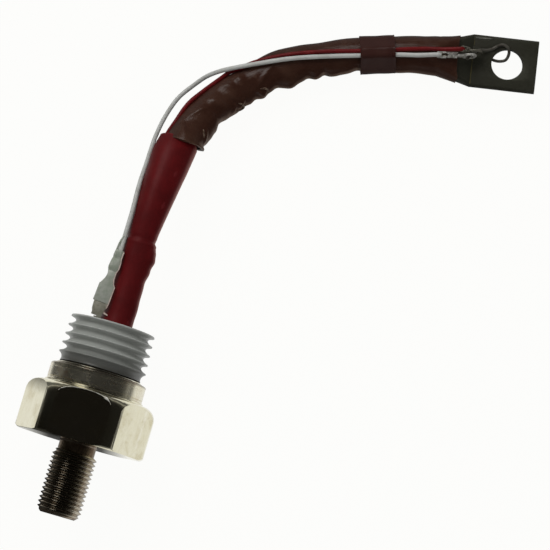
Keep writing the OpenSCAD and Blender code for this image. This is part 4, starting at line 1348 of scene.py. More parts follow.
@dataclass(frozen=True)
class Fold:
    """One wrinkle in a sleeve: where it lies and how far it stands out."""

    run: float
    angle: float
    height: float
    half_run: float
    half_angle: float
    slant: float = 0.0

    def at(self, run: np.ndarray, angle: np.ndarray) -> np.ndarray:
        """Returns the fold's height at distances along and angles round the sleeve.

        Args:
            run: distances along the sleeve, in mm.
            angle: angles round it, in radians.

        Returns:
            The heights, in mm.
        """
        gap = (np.degrees(angle) - self.angle + 180.0) % 360.0 - 180.0
        u = (run - self.run - self.slant * gap) / self.half_run
        v = gap / self.half_angle
        return self.height * np.exp(-u * u - v * v)


@dataclass
class CathodeLead(Assembly):
    """Stranded rope, its red and brown sleeves and the band round it."""

    rope_d: float = 7.3
    strands: int = 12
    lay_turns: float = 5.0
    tube_r: float = 3.6
    sides: int = 112
    barrel_r: float = 5.0
    band_l: float = 10.2
    band_r: float = 5.2
    wire_r: float = 0.65
    band_wall: float = 0.4
    skin_low: float = 0.02
    lining_low: float = 0.3
    mouth_l: float = 9.0
    gripped: tuple[float, ...] = (0.76, 0.76, 0.9, 1.0)
    folds: list[Fold] = field(default_factory=list)

    def rope(self) -> bpy.types.Object:
        """Copper rope whose strands wind round it, grown by Geometry Nodes along its route.

        Returns:
            The piece.
        """
        path, stations = smooth_path(ROUTE[:-1], 1.2)
        line = bpy.data.curves.new("cathode_rope_line", "CURVE")
        line.dimensions = "3D"
        spline = line.splines.new("POLY")
        spline.points.add(len(path) - 1)
        for point, at, station in zip(spline.points, path, stations):
            point.co = (*(at * MM), 1.0)
            point.radius = float(np.interp(station, range(len(self.gripped)), self.gripped))
        tree = GeometryTree("rope_strands", {"Radius": ("NodeSocketFloat", self.rope_d / 2 * MM),
                                             "Strands": ("NodeSocketFloat", float(self.strands)),
                                             "Turns": ("NodeSocketFloat", self.lay_turns),
                                             "Hollow": ("NodeSocketFloat", 0.12),
                                             "Finish": ("NodeSocketMaterial", self.paint.made["copper"])})
        w, given = tree.wires, tree.given
        factor = w.add("GeometryNodeSplineParameter").outputs["Factor"]
        tilt = w.math("MULTIPLY", w.math("MULTIPLY", factor, given["Turns"]), 2 * math.pi)
        twisted = w.add("GeometryNodeSetCurveTilt", Curve=given["Geometry"], Tilt=tilt)
        circle = w.add("GeometryNodeCurvePrimitiveCircle", Resolution=96, Radius=given["Radius"])
        place = w.add("ShaderNodeSeparateXYZ", Vector=w.add("GeometryNodeInputPosition").outputs[0])
        angle = w.math("ARCTAN2", place.outputs[1], place.outputs[0])
        half_turns = w.math("MULTIPLY", w.math("MULTIPLY", angle, given["Strands"]), 0.5)
        wave = w.math("ABSOLUTE", w.math("COSINE", half_turns))
        shrink = w.math("ADD", w.math("SUBTRACT", 1.0, given["Hollow"]),
                        w.math("MULTIPLY", wave, given["Hollow"]))
        scaled = w.add("ShaderNodeVectorMath", operation="SCALE",
                       in0=w.add("GeometryNodeInputPosition").outputs[0], in3=shrink)
        lobed = w.add("GeometryNodeSetPosition", Geometry=circle.outputs[0], Position=scaled.outputs[0])
        radius = w.add("GeometryNodeInputRadius").outputs[0]
        body = w.add("GeometryNodeCurveToMesh", Curve=twisted.outputs[0], Profile_Curve=lobed.outputs[0],
                     Scale=radius, Fill_Caps=True)
        tree.close(body.outputs[0])
        return self.dressed(tree.grow("cathode_strands", line, 60.0), "copper")

    def sleeve(self, name: str, points: Sequence[Point], outer: Sequence[float], wall: Sequence[float],
               folds: Sequence[Fold], step: float, finish: str, straight: Sequence[float] | None = None,
               ragged: tuple[float, float] = (0.0, 0.0), shear: tuple[float, float, float] = (0.0, 0.0, 0.0),
               ) -> bpy.types.Object:
        """Builds a sleeve with its wrinkles.

        Args:
            name: the piece's name.
            points: the sleeve's line.
            outer: outer radius at each point.
            wall: wall thickness at each point.
            folds: wrinkles of the outer skin.
            step: distance between rings.
            finish: a name in FINISHES.
            straight: half-width of the slot-shaped part at each point.
            ragged: how uneven the first and the last edge are cut, in mm.
            shear: how far the mouth is drawn along the sleeve: evenly, on its left and on its top.

        Returns:
            The closed, hollow piece.
        """
        path, stations = smooth_path(points, step)
        run = lengths(path)
        angle = around(self.sides)
        runs, angles = np.meshgrid(run, angle, indexing="ij")
        radii = even(outer, stations, self.sides)
        for fold in folds:
            radii = radii + fold.at(runs, angles)
        thick = np.interp(stations, np.arange(len(wall)), wall)[:, None]
        flat = 0.0 if straight is None else np.interp(stations, np.arange(len(straight)), straight)
        skin, lining = tube_rings(path, radii, flat), tube_rings(path, radii - thick, flat)
        along, _, _ = path_frames(path)
        wave = np.sin(3 * angle + 0.7) + 0.6 * np.sin(5 * angle + 2.1)
        for end, amount in ((0, ragged[0]), (-1, ragged[1])):
            shift = amount * wave[:, None] * along[end]
            skin[end] += shift
            lining[end] += shift
        drawn = shear[0] + shear[1] * np.cos(angle) + shear[2] * np.sin(angle)
        drawn = (np.clip(1 - run / self.mouth_l, 0, 1) ** 1.5)[:, None] * drawn[None]
        skin += drawn[..., None] * along[:, None]
        lining += drawn[..., None] * along[:, None]
        draft = Draft()
        draft.wall(skin, lining)
        return self.dressed(draft.build(name, 60.0), finish)

    def red(self) -> bpy.types.Object:
        """Red silicone sleeve: waist over the crimp, ridge at its end and a flared mouth.

        Returns:
            The piece.
        """
        points = [(0.8, y, AXIS_H) for y in (27.66, 31.0, 38.0, 44.0, 48.0, 51.0, 53.0, 56.0)]
        points += [(0.95, 60, 16.8), (1.3, 68, 15.7), (1.8, 76, 14), (2.5, 84, 11.8)]
        fit = self.tube_r + 0.05
        outer = [fit + 0.8, fit + 0.5, fit + 0.42, fit + 0.5, fit + 0.76, fit + 0.76, fit + 0.42, fit + 0.6,
                 4.6, 5.25, 5.75, 5.85]
        wall = [0.5, 0.35, 0.32, 0.34, 0.6, 0.6, 0.34, 0.42, 0.45, 0.45, 0.45, 0.42]
        folds = [Fold(5.5, 180.0, 0.45, 4.0, 42.0), Fold(11.5, 180.0, 0.3, 2.6, 42.0),
                 Fold(16.5, 180.0, 0.7, 1.8, 45.0), Fold(20.2, 180.0, 1.05, 2.0, 45.0),
                 Fold(22.4, 180.0, 0.35, 1.0, 45.0), Fold(23.4, 180.0, 0.2, 1.0, 50.0),
                 Fold(3.0, 0.0, 0.35, 4.0, 30.0), Fold(0.4, 0.0, 0.45, 1.6, 35.0),
                 Fold(9.5, 0.0, 0.75, 4.5, 32.0), Fold(17.0, 0.0, 0.5, 4.0, 30.0),
                 Fold(22.8, 0.0, 0.45, 2.5, 32.0), Fold(12.0, 60.0, -0.1, 2.5, 30.0, 0.02),
                 Fold(7.0, 110.0, 0.12, 2.5, 25.0, 0.03), Fold(24.5, 90.0, 0.4, 0.5, 400.0),
                 Fold(25.6, 90.0, -0.14, 0.5, 400.0), Fold(38.0, 75.0, 0.12, 9.0, 25.0),
                 Fold(40.0, 130.0, -0.12, 10.0, 22.0), Fold(50.0, 60.0, 0.1, 7.0, 20.0),
                 Fold(58.0, 95.0, -0.8, 3.5, 60.0), Fold(28.0, 0.0, 0.35, 2.5, 40.0),
                 Fold(52.5, 5.0, 0.5, 4.0, 45.0)]
        return self.sleeve("red_sleeve_skin", points, outer, wall, folds, 0.6, "red", ragged=(0.0, 0.22))

    def brown(self) -> bpy.types.Object:
        """Brown shrink sleeve: rolled mouth, wrinkles on the inside of the bend, drawn tight over the lug.

        Returns:
            The piece.
        """
        points = [(4.2, 84.0, 11.75), (4.45, 85.3, 11.35), *ROUTE[6:]]
        grip = self.barrel_r + 0.45
        outer = [5.45, 5.4, 5.4, 5.35, 5.1, 5.0, 4.95, 5.0, 5.0, 5.15, 5.3, grip, grip, 3.5]
        wall = [0.95, 0.5, 0.5, 0.5, 0.5, 0.5, 0.5, 0.5, 0.5, 0.5, 0.5, 0.38, 0.38, 0.32]
        straight = [0.0] * 12 + [0.1, 3.6]
        return self.sleeve("brown_sleeve_skin", points, outer, wall, self.folds, 0.4, "brown", straight,
                           (0.1, 0.2), (0.3, -0.8, -2.0))

    def band(self) -> bpy.types.Object:
        """Short brown tube shrunk round the lead and both wires.

        Returns:
            The piece.
        """
        a, b = np.array(ROUTE[12], float), np.array(ROUTE[13], float)
        along = (b - a) / np.linalg.norm(b - a)
        path = np.array([(a + b) / 2 + along * s for s in np.linspace(-self.band_l / 2, self.band_l / 2, 22)])
        discs = [(0.0, 0.0, self.band_r), (-1.5, 5.65, self.wire_r + 0.15), (0.0, 5.65, self.wire_r + 0.15)]
        angle = around(self.sides) + math.pi / 2

        def reach(extra: float) -> np.ndarray:
            """Distance from the middle to the skin stretched over the discs, at each angle.

            Args:
                extra: the skin's thickness over the discs, in mm.

            Returns:
                One distance for each angle.
            """
            ways = np.linspace(0, 2 * math.pi, 720, endpoint=False)
            support = np.max([x * np.cos(ways) + y * np.sin(ways) + r + extra for x, y, r in discs], axis=0)
            cosines = np.cos(angle[:, None] - ways[None])
            return np.min(np.where(cosines > 0.05, support / np.maximum(cosines, 0.05), 1e9), axis=1)

        _, across, up = path_frames(path)
        swell = 0.04 * np.sin(np.linspace(0, math.pi, len(path)) * 3 + 0.4)
        swell[[0, -1]] += 0.08
        rings = []
        for extra, lowest in ((self.band_wall, self.skin_low), (0.0, self.lining_low)):
            r = reach(extra)[None] + swell[:, None]
            x, y = r * np.cos(angle), r * np.sin(angle)
            rings.append(path[:, None] + across[:, None] * x[..., None] + up[:, None] * y[..., None])
            rings[-1][..., 2] = np.maximum(rings[-1][..., 2], lowest)
        draft = Draft()
        draft.wall(*rings)
        return self.dressed(draft.build("band_sleeve", 60.0), "band")

    def creases(self) -> bpy.types.Object:
        """Sharp creases where the brown sleeve is pinched together, coloured pale as painted highlights.

        Returns:
            The piece.
        """
        draft = Draft()
        for line in BROWN_CREASES:
            path = smooth_path(line, 0.3)[0]
            thin = 0.12 + 0.2 * np.sin(np.linspace(0, math.pi, len(path))) ** 0.5
            draft.loft(round_rings(path, thin, 10))
        return self.dressed(draft.build("sleeve_lit_creases", 60.0), "crease_glint")

    def build(self) -> Iterable[tuple[bpy.types.Object, tuple[str, ...]]]:
        """Yields each piece with the CAD node that it stands for."""
        yield self.creases(), ("brown_sleeve",)
        yield self.rope(), ("cathode_rope",)
        yield self.red(), ("red_sleeve",)
        yield self.brown(), ("brown_sleeve",)
        yield self.band(), ("tie_band",)


BROWN_FOLDS = [Fold(0.5, 100.0, 1.0, 3.2, 55.0), Fold(0.3, 185.0, 0.3, 0.6, 50.0),
               Fold(1.8, 175.0, -0.45, 1.1, 45.0), Fold(2.5, 5.0, 0.12, 4.0, 40.0),
               Fold(6.5, 178.0, 0.25, 1.8, 35.0), Fold(13.2, 182.0, -0.95, 2.3, 42.0),
               Fold(10.0, 196.0, 0.2, 1.2, 30.0), Fold(17.0, 176.0, -0.2, 1.0, 30.0),
               Fold(20.0, 180.0, 0.2, 1.4, 32.0), Fold(22.6, 172.0, -0.25, 0.8, 30.0),
               Fold(25.4, 180.0, 0.3, 1.0, 34.0), Fold(27.6, 178.0, -0.18, 0.8, 30.0),
               Fold(30.0, 180.0, 0.75, 1.5, 42.0), Fold(35.2, 180.0, -0.5, 1.4, 42.0),
               Fold(39.8, 180.0, 1.1, 2.4, 42.0), Fold(45.6, 180.0, -0.55, 1.3, 40.0),
               Fold(48.0, 182.0, 0.25, 0.9, 36.0), Fold(50.7, 178.0, -0.8, 1.0, 38.0),
               Fold(53.8, 180.0, 0.2, 1.5, 36.0), Fold(60.0, 178.0, -0.15, 2.0, 40.0),
               Fold(57.0, 150.0, 0.15, 5.0, 18.0), Fold(57.0, 12.0, 0.4, 7.0, 45.0),
               Fold(38.5, 4.0, 1.0, 6.0, 42.0), Fold(46.0, 6.0, 0.4, 4.0, 42.0),
               Fold(60.8, 180.0, -0.6, 1.8, 45.0), Fold(73.3, 175.0, 0.45, 3.5, 45.0),
               Fold(84.5, 20.0, 0.6, 3.4, 50.0), Fold(5.0, 10.0, 0.5, 5.0, 45.0),
               Fold(3.4, 66.0, 0.26, 0.9, 26.0, -0.077), Fold(8.0, 70.0, 0.3, 1.2, 20.0, 0.19),
               Fold(10.6, 75.0, 0.35, 1.9, 16.0), Fold(6.2, 100.0, -0.3, 1.6, 22.0),
               Fold(4.3, 146.0, 0.36, 0.8, 18.0, -0.14), Fold(12.8, 120.0, -0.4, 1.2, 30.0),
               Fold(15.4, 106.0, 0.5, 1.5, 34.0, 0.03), Fold(18.2, 95.0, -0.36, 1.3, 30.0),
               Fold(21.4, 70.0, 0.4, 1.5, 22.0, 0.07), Fold(20.8, 120.0, 0.3, 1.0, 26.0, 0.05),
               Fold(25.4, 64.0, 0.36, 1.4, 24.0), Fold(23.4, 98.0, -0.34, 1.2, 28.0),
               Fold(27.6, 108.0, -0.36, 1.5, 30.0), Fold(32.0, 105.0, 0.42, 1.4, 24.0, -0.15),
               Fold(35.6, 112.0, -0.3, 1.5, 26.0), Fold(39.0, 120.0, 0.25, 1.4, 24.0, 0.05),
               Fold(43.0, 125.0, 0.2, 1.5, 22.0, -0.05), Fold(47.0, 140.0, -0.2, 1.8, 22.0),
               Fold(18.9, 150.0, 0.4, 0.6, 16.0, -0.05), Fold(20.7, 154.0, 0.4, 0.6, 16.0, 0.06),
               Fold(22.6, 150.0, 0.4, 0.6, 15.0, -0.06), Fold(29.3, 150.0, 0.4, 0.6, 16.0, 0.06),
               Fold(31.3, 150.0, 0.36, 0.6, 15.0, -0.06)]


BROWN_CREASES: list[list[Point]] = [
    [(15.7, 100.5, 10.1), (16.8, 100.7, 8.8), (17.2, 100.3, 6.9), (16.4, 99.2, 7.2), (15.5, 98.4, 8.7)],
    [(20.6, 106.5, 9.4), (22.0, 107.1, 8.7), (22.8, 106.8, 7.3), (22.0, 105.8, 6.9), (20.9, 105.2, 7.8)],
    [(8.5, 89.3, 14.9), (9.0, 88.1, 14.4), (9.2, 86.9, 14.1)]]


@dataclass
class ControlWires(Assembly):
    """Gate wire, auxiliary wire, their eyelet terminals and the binding wire."""

    wire_d: float = 1.3
    core_d: float = 0.6
    core_clear: float = 0.03
    tie_d: float = 0.7
    tie_coat: float = 0.1
    eye_d: float = 4.6
    eye_hole: float = 2.5
    sheet: float = 0.7

    def wire(self, name: str, points: Sequence[Point], finish: str,
             bare: tuple[int, int]) -> list[bpy.types.Object]:
        """Builds one insulated wire and its bare ends.

        Args:
            name: the piece's name.
            points: its line.
            finish: a name in FINISHES.
            bare: how many points at the start and at the end have no insulation.

        Returns:
            The insulated wire and its bare ends.
        """
        path, stations = smooth_path(points, 0.7)
        last = len(points) - 1
        start, end = stations < bare[0] - 0.05, stations > last - bare[1] + 0.05
        radii = np.where(start | end, self.core_d / 2, self.wire_d / 2)
        radii = radii * (1 + 0.012 * np.sin(stations * 7.3) + 0.01 * np.sin(stations * 17.1 + 1))
        cover = Draft()
        cover.loft(round_rings(path, radii, 20))
        core = Draft()
        for part in (start, end):
            core.loft(round_rings(path[part], self.core_d / 2 + self.core_clear, 16))
        return [self.dressed(cover.build(name, 50.0), finish),
                self.dressed(core.build(name + "_ends", 50.0), "contact")]

    def terminal(self, name: str, eye: Point, tilt: Sequence[float], reach: float, grip: float,
                 finish: str) -> bpy.types.Object:
        """Builds an eyelet terminal that stands on edge, with open crimp wings.

        Args:
            name: the piece's name.
            eye: middle of the eyelet.
            tilt: degrees about X, Y and Z.
            reach: from the eyelet back to the end of the crimp.
            grip: length of the crimp.
            finish: a name in FINISHES.

        Returns:
            The terminal.
        """
        t, outer, hole = self.sheet / 2, self.eye_d / 2, self.eye_hole / 2

        def place(points: np.ndarray) -> np.ndarray:
            """Moves points from the terminal's frame to the row frame."""
            return turn(np.asarray(points, float), tilt) + np.array(eye)

        def on_edge(points: np.ndarray) -> np.ndarray:
            """Stands a flat shape on its edge, then places it."""
            points = np.asarray(points, float)
            return place(np.stack([points[..., 0], points[..., 2], points[..., 1]], axis=-1))

        draft = Draft()
        draft.lathe([(hole, -t + 0.1), (hole + 0.1, -t), (outer - 0.15, -t), (outer, 0.0), (outer - 0.15, t),
                     (hole + 0.1, t), (hole, t - 0.1)], 48, place=on_edge)
        neck = [(-outer + 0.35, -1.3), (-outer - 0.6, -0.95), (grip - reach + 0.2, -0.8),
                (grip - reach + 0.2, 0.8), (-outer - 0.6, 0.95), (-outer + 0.35, 1.3)]
        draft.slab(neck, -t * 0.8, t * 0.8, on_edge)
        for low, high, r, gap in ((-reach, -reach + 0.42 * grip, 0.95, 0.55),
                                  (-reach + 0.5 * grip, grip - reach, 0.8, 0.12)):
            arc = np.linspace(math.pi / 2 + gap, 2.5 * math.pi - gap, 25)
            ring = [(r * math.cos(a), r * math.sin(a)) for a in arc]
            inner = [((r - 0.28) * math.cos(a), (r - 0.28) * math.sin(a)) for a in arc[::-1]]
            loop = ring + inner
            rings = np.array([[(x, p, q) for p, q in loop] for x in (low, low + 0.15, high - 0.15, high)])
            rings[[0, -1], :, 1:] *= 1.06
            draft.loft(place(rings))
        floor = [(-reach, -0.5), (grip - reach + 0.4, -0.5), (grip - reach + 0.4, 0.5), (-reach, 0.5)]
        draft.slab(floor, 0.6, 0.88, on_edge)
        return self.dressed(bevelled(draft.build(name), 0.06), finish)

    def binding(self) -> bpy.types.Object:
        """Thin wire through both eyelets and round the rim of the bolt hole.

        Returns:
            The piece.
        """
        path = smooth_path(TIE_ROUTE, 0.35)[0]
        draft = Draft()
        draft.loft(round_rings(path, self.tie_d / 2 + self.tie_coat, 14))
        return self.dressed(draft.build("binding_wire", 50.0), "wire")

    def build(self) -> Iterable[tuple[bpy.types.Object, tuple[str, ...]]]:
        """Yields each piece with the CAD node that it stands for."""
        for piece in self.wire("white_wire", GATE_ROUTE, "white_wire", (2, 1)):
            yield piece, ("gate_lead",)
        for piece in self.wire("red_wire", AUX_ROUTE, "red_wire", (1, 1)):
            yield piece, ("aux_lead",)
        yield self.terminal("gate_eye_terminal", GATE_EYE, (0.0, 14.3, 16.9), 9.6, 5.8,
                            "eye"), ("gate_end_terminal",)
        yield self.terminal("aux_eye_terminal", AUX_EYE, (0.0, 37.0, 12.0), 4.9, 2.4,
                            "eye_dull"), ("aux_end_terminal",)
        yield self.binding(), ("tie_wire",)


# Lug

@dataclass
class CableLug(Assembly):
    """Tube lug: round barrel, pressed taper and a flat palm with its bolt hole."""

    eye: Point = (87.9, 133.7, 5.5)
    palm_shift: float = 0.15
    heading: float = 9.0
    palm_w: float = 15.9
    palm_t: float = 2.2
    palm_end: float = 8.7
    palm_back: float = 10.4
    taper_l: float = 9.8
    barrel_d: float = 10.0
    barrel_l: float = 6.0
    hole_d: float = 9.2
    bore_d: float = 7.5
    sides: int = 96

    def place(self, points: np.ndarray) -> np.ndarray:
        """Moves points from the lug's frame, with its hole at the origin, to the row frame."""
        return turn(np.asarray(points, float), (0.0, 0.0, self.heading)) + np.array(self.eye)

    def section(self, x: float, half_w: float, half_h: float) -> list[Point]:
        """Returns a stadium section across the lug, flat between two rounded edges.

        Args:
            x: its place along the lug.
            half_w: half its width.
            half_h: half its height.

        Returns:
            The section's points.
        """
        flat = half_w - half_h
        ring = []
        for a in around(self.sides):
            y = half_h * math.cos(a) + flat * max(-1.0, min(1.0, 3 * math.cos(a)))
            ring.append((x, y, half_h * math.sin(a)))
        return ring

    def body(self) -> bpy.types.Object:
        """Barrel, taper and palm as one skin, bored and punched.

        Returns:
            The piece.
        """
        taper = -self.palm_back - self.taper_l
        stations = [(taper - self.barrel_l, 0.0), (taper - self.barrel_l + 0.3, 0.0), (taper, 0.0)]
        stations += [(taper + self.taper_l * f, f) for f in np.linspace(0.08, 0.96, 12)]
        stations += [(-self.palm_back, 1.0), (-self.palm_back + 0.35, 1.0), (0.0, 1.0), (self.palm_end, 1.0)]
        rings = []
        for x, f in stations:
            half_w = self.barrel_d / 2 + (self.palm_w - self.barrel_d) / 2 * f
            half_h = self.barrel_d / 2 + (self.palm_t - self.barrel_d) / 2 * f
            pressed = 0.12 * math.exp(-((x + self.palm_back - 0.1) / 0.3) ** 2)
            ring = self.section(x, half_w, half_h - pressed)
            rings.append([(px, py + self.palm_shift * f, pz) for px, py, pz in ring])
        draft = Draft()
        draft.loft(self.place(np.array(rings)))
        piece = draft.build("lug_tube")
        punch = Draft()
        punch.lathe([(0.0, -3.0), (self.hole_d / 2, -3.0), (self.hole_d / 2, 3.0), (0.0, 3.0)], 96,
                    place=self.place, looped=False)
        piece = carve(piece, punch.build("punch"))
        bore = Draft()

        def lengthwise(points: np.ndarray) -> np.ndarray:
            """Lays a turned shape along the lug, then places it."""
            points = np.asarray(points, float)
            return self.place(np.stack([points[..., 2], points[..., 0], points[..., 1]], axis=-1))

        bore.lathe([(0.0, taper - self.barrel_l - 1), (self.bore_d / 2, taper - self.barrel_l - 1),
                    (self.bore_d / 2, taper), (0.0, taper)], 48, place=lengthwise, looped=False)
        piece = carve(piece, bore.build("bore"))
        slit = Draft()
        half = self.palm_w / 2 - 0.8
        outline = [(self.palm_end - 0.5, -half), (self.palm_end + 1, -half), (self.palm_end + 1, half),
                   (self.palm_end - 0.5, half)]
        slit.slab(outline, -0.05, 0.05, self.place)
        piece = carve(piece, slit.build("slit"))
        return self.dressed(bevelled(piece, 0.12, 2, 40.0), "lug")

    def patches(self, name: str, outlines: Sequence[Sequence[tuple[float, float]]],
                finish: str) -> bpy.types.Object:
        """Builds thin patches on the palm's upper face, each given by its outline along and across the lug.

        Args:
            name: the piece's name.
            outlines: the patches' outlines.
            finish: a name in FINISHES.

        Returns:
            The piece.
        """
        draft = Draft()
        for outline in outlines:
            draft.slab(outline, self.palm_t / 2 - 0.06, self.palm_t / 2 + 0.02, self.place)
        return self.dressed(draft.build(name), finish)

    def build(self) -> Iterable[tuple[bpy.types.Object, tuple[str, ...]]]:
        """Yields each piece with the CAD node that it stands for."""
        yield self.body(), ("cable_lug",)
        x = -self.palm_back
        press = [[(x + 0.0, -7.2), (x + 0.28, -7.2), (x + 0.28, 1.6), (x + 0.0, 1.6)],
                 [(x + 0.1, 4.6), (x + 0.3, 4.6), (x + 0.3, 6.6), (x + 0.1, 6.6)]]
        yield self.patches("lug_press_marks", press, "mark"), ("cable_lug",)
        # Pale strip on the palm's upper edge: a painted highlight.
        shine = [[(x + 0.5, 6.75), (x + 2.4, 6.7), (x + 5.0, 6.95), (x + 5.6, 7.15), (x + 2.8, 7.25),
                  (x + 0.5, 7.2)]]
        yield self.patches("lug_painted_edge_shine", shine, "palm_highlight"), ("cable_lug",)


# Sealed parts

SEALED_FINISH = {"lower_moly_disc": "moly", "silicon_wafer": "silicon", "upper_moly_disc": "moly",
                 "centring_ring": "plastic", "cathode_contact": "copper", "mica_washer": "mica",
                 "thrust_washer": "spring", "disc_spring_lower": "spring", "disc_spring_middle": "spring",
                 "disc_spring_upper": "spring", "spring_retainer": "spring", "gate_pin": "contact",
                 "gate_bush": "plastic", "gate_spring": "contact", "gate_inner_lead": "plastic",
                 "inner_braid": "copper", "cathode_tube": "terminal", "gate_eyelet": "terminal"}


def dress_sealed(paint: Paintbox) -> None:
    """Gives the CAD pieces that stay their finishes.

    Args:
        paint: the materials.
    """
    for node, finish in SEALED_FINISH.items():
        piece = frame["nodes"][node]
        paint.dress(piece, finish)
        for polygon in piece.data.polygons:
            polygon.material_index = 0
        LOG.info("%s keeps its CAD mesh, finish %s", node, finish)


# Studio

@dataclass
class Studio:
    """Camera, lamps, world and floor."""

    focal: float = 144.0
    eye: Point = (74.502, -31.070, 635.764)
    right: Point = (0.96167, 0.27374, -0.01586)
    up: Point = (-0.26863, 0.95218, 0.14556)
    ambient: float = 0.27
    key_power: float = 3.6
    fill_power: float = 0.4
    key_place: Point = (-0.37, 0.51, 0.64)
    key_colour: Colour = (1.0, 0.995, 0.98)
    fill_place: Point = (0.55, -0.2, 0.7)
    fill_colour: Colour = (0.98, 0.99, 1.0)
    lamp_size: float = 0.6
    lit_middle: Point = (0.04, 0.06, 0.01)
    behind: Point = (-0.55, -0.83, 0.0)
    panes: tuple[tuple[Point, float, float], ...] = (((-0.37, 0.51, 0.64), 0.3, 2.6),)
    # floor_middle, near_floor and far_floor set a painted pool of light on the floor, and the strip and
    # patches a painted shade beside and beneath the part; the floor shows both only in reflections.
    floor_middle: Point = (0.015, 0.0, 0.0)
    reflection_shade_strip: tuple[float, float, float] = (-0.003, 0.008, 0.016)
    reflection_shade_patches: tuple[tuple[float, float, float, float], ...] = (
        (-1.0, 0.003, -1.0, -0.0095), (-0.11, -0.037, 0.008, 0.021))
    near_floor: float = 0.075
    far_floor: float = 0.10
    floor_half: float = 2000.0
    floor_z: float = -0.15
    flag_share: float = 0.96
    flag_blur: float = 0.003
    glow_share: float = 0.96

    def camera(self) -> bpy.types.Object:
        """Camera at the photograph's place, with its roll.

        Returns:
            The camera.
        """
        lens = bpy.data.cameras.new("camera")
        lens.sensor_width, lens.lens = 36.0, self.focal
        lens.clip_start, lens.clip_end = 0.01, 10.0
        eye = linked("camera", lens)
        right, up = Vector(self.right).normalized(), Vector(self.up)
        up = (up - right * up.dot(right)).normalized()
        turned = Matrix((right, up, right.cross(up))).transposed()
        eye.matrix_world = Matrix.Translation(Vector(self.eye) * MM) @ turned.to_4x4()
        bpy.context.scene.camera = eye
        return eye

    def lamp(self, name: str, place: Point, power: float, colour: Colour) -> None:
        """Adds a soft square lamp that lights the object and shows in no shiny surface.

        Args:
            name: the lamp's name.
            place: where it hangs, in metres.
            power: its power in watts.
            colour: its colour.
        """
        data = bpy.data.lights.new(name, "AREA")
        data.size, data.energy, data.color = self.lamp_size, power, colour
        lamp = linked(name, data)
        lamp.location = place
        lamp.rotation_mode = "QUATERNION"
        lamp.rotation_quaternion = (Vector(self.lit_middle) - Vector(place)).to_track_quat("-Z", "Y")
        lamp.visible_glossy = False

    def world(self) -> None:
        """World: even light, a white background, and for metal a dark ceiling over a bright horizon."""
        world = bpy.data.worlds.new("studio")
        world.use_nodes = True
        bpy.context.scene.world = world
        tree = world.node_tree
        tree.nodes.clear()
        w = Wires(tree)
        ray = w.add("ShaderNodeLightPath").outputs
        direction = w.add("ShaderNodeTexCoord").outputs["Generated"]
        height = w.add("ShaderNodeSeparateXYZ", Vector=direction).outputs[2]
        ramp = w.add("ShaderNodeValToRGB", Fac=height)
        stops = ramp.color_ramp.elements
        stops[0].position, stops[0].color = 0.0, (0.6, 0.6, 0.57, 1.0)
        stops[1].position, stops[1].color = 1.0, (0.006, 0.005, 0.004, 1.0)
        for position, level in ((0.06, 0.28), (0.14, 0.07), (0.35, 0.015)):
            stop = stops.new(position)
            stop.color = (level, level * 0.97, level * 0.9, 1.0)
        even_light = w.add("ShaderNodeBackground", Color=(1.0, 1.0, 0.985, 1.0), Strength=self.ambient)
        away = w.add("ShaderNodeVectorMath", operation="DOT_PRODUCT", in0=direction, in1=self.behind)
        lit = w.mix(w.remap(away.outputs["Value"], 0.3, 0.6, 0.0, 0.9), ramp.outputs[0],
                    (0.004, 0.004, 0.003, 1.0))
        for place, reach, level in self.panes:
            facing = w.add("ShaderNodeVectorMath", operation="DOT_PRODUCT", in0=direction,
                           in1=tuple(Vector(place).normalized())).outputs["Value"]
            pane = w.remap(facing, math.cos(reach), math.cos(reach * 0.4), 0.0, 1.0)
            lit = w.mix(pane, lit, (level, level, level * 0.98, 1.0))
        mirrored = w.add("ShaderNodeBackground", Color=lit, Strength=1.0)
        seen = w.add("ShaderNodeBackground", Color=(1.0, 1.0, 0.99, 1.0), Strength=1.0)
        glossy = w.add("ShaderNodeMixShader", in0=ray["Is Glossy Ray"], in1=even_light.outputs[0],
                       in2=mirrored.outputs[0])
        open_ray = w.math("MAXIMUM", ray["Is Camera Ray"], ray["Is Transmission Ray"])
        both = w.add("ShaderNodeMixShader", in0=open_ray, in1=glossy.outputs[0], in2=seen.outputs[0])
        out = w.add("ShaderNodeOutputWorld")
        tree.links.new(both.outputs[0], out.inputs[0])

    def floor(self) -> bpy.types.Object:
        """Pale floor that keeps a faint shadow, and which in reflections shows a painted pool of light and
        painted shade.

        Returns:
            The floor.
        """
        draft = Draft()
        half, z = self.floor_half, self.floor_z
        start = draft.add(np.array([(-half, -half, z), (half, -half, z), (half, half, z), (-half, half, z)]))
        draft.face([start, start + 1, start + 2, start + 3])
        piece = draft.build("floor")
        paper = bpy.data.materials.new("paper")
        paper.use_nodes = True
        tree = paper.node_tree
        w = Wires(tree)
        shader = tree.nodes["Principled BSDF"]
        shader.inputs["Base Color"].default_value = (0.84, 0.84, 0.82, 1.0)
        shader.inputs["Roughness"].default_value = 0.9
        shader.inputs["Specular IOR Level"].default_value = 0.1
        glow = w.add("ShaderNodeEmission", Color=(1.0, 1.0, 0.985, 1.0), Strength=1.0)
        ray = w.add("ShaderNodeLightPath").outputs
        straight = w.math("MAXIMUM", ray["Is Camera Ray"], w.math("MAXIMUM", ray["Is Glossy Ray"],
                                                                  ray["Is Transmission Ray"]))
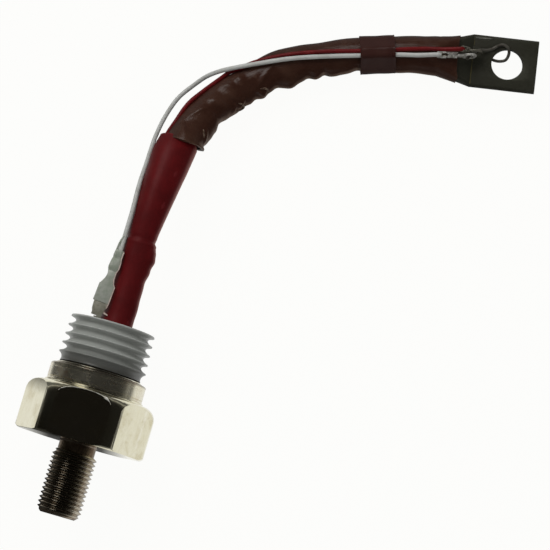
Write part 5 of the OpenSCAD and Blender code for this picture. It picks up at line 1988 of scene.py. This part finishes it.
        # Painted pool of light and painted shade on the floor, seen only by glossy rays.
        ground = w.add("ShaderNodeTexCoord").outputs["Object"]
        away = w.add("ShaderNodeVectorMath", operation="DISTANCE", in0=ground, in1=self.floor_middle)
        reflection_light_pool = w.remap(away.outputs["Value"], self.near_floor, self.far_floor, 1.0, 0.12)
        place = w.add("ShaderNodeSeparateXYZ", Vector=ground).outputs
        beside = w.math("ABSOLUTE", w.math("SUBTRACT", place[0], self.reflection_shade_strip[0]))
        lit = w.math("MULTIPLY", reflection_light_pool, w.remap(beside, self.reflection_shade_strip[1], self.reflection_shade_strip[2], 0.1, 1.0))
        for x0, x1, y0, y1 in self.reflection_shade_patches:
            inside = self.flag_share
            for at, low, high in ((place[0], x0, x1), (place[1], y0, y1)):
                inside = w.math("MULTIPLY", inside, w.remap(at, low - self.flag_blur, low + self.flag_blur,
                                                            0.0, 1.0))
                inside = w.math("MULTIPLY", inside, w.remap(at, high - self.flag_blur, high + self.flag_blur,
                                                            1.0, 0.0))
            lit = w.math("MULTIPLY", lit, w.math("SUBTRACT", 1.0, inside))
        dim = w.math("MULTIPLY", ray["Is Glossy Ray"], w.math("SUBTRACT", 1.0, lit))
        tree.links.new(w.math("SUBTRACT", 1.0, dim), glow.inputs["Strength"])
        share = w.math("MULTIPLY", straight, self.glow_share)
        both = w.add("ShaderNodeMixShader", in0=share, in1=shader.outputs[0], in2=glow.outputs[0])
        tree.links.new(both.outputs[0], tree.nodes["Material Output"].inputs[0])
        piece.data.materials.append(paper)
        return piece

    def build(self) -> None:
        """Sets up everything that isn't part of the object."""
        self.camera()
        self.world()
        self.floor()
        self.lamp("key", self.key_place, self.key_power, self.key_colour)
        self.lamp("fill", self.fill_place, self.fill_power, self.fill_colour)
        bpy.context.scene.view_settings.view_transform = "Standard"


# Assembly

def metres(points: Iterable[Point]) -> list[list[float]]:
    """Returns points in metres as plain lists."""
    return [[float(c) * MM for c in p] for p in points]


def declare_cords() -> None:
    rope = smooth_path(ROUTE[:-1], 1.2)[0]
    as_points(metres(rope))
    gate = smooth_path(GATE_ROUTE, 0.7)[0]
    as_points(metres(gate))
    aux = smooth_path(AUX_ROUTE, 0.7)[0]
    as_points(metres(aux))


def main() -> None:
    """Builds the studio and every sub-assembly."""
    logging.basicConfig(level=logging.INFO, format="%(name)s: %(message)s", stream=sys.stdout)
    Studio().build()
    paint = Paintbox()
    dress_sealed(paint)
    assemblies = (Case(paint), GateTerminal(paint), CathodeLead(paint, folds=BROWN_FOLDS),
                  ControlWires(paint), CableLug(paint))
    for assembly in assemblies:
        for piece, nodes in assembly.build():
            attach(piece, BODY)
            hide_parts(*nodes)
            LOG.info("%s: %d faces, stands for %s", piece.name, len(piece.data.polygons), ", ".join(nodes))
    declare_cords()


if __name__ == "__main__":
    main()
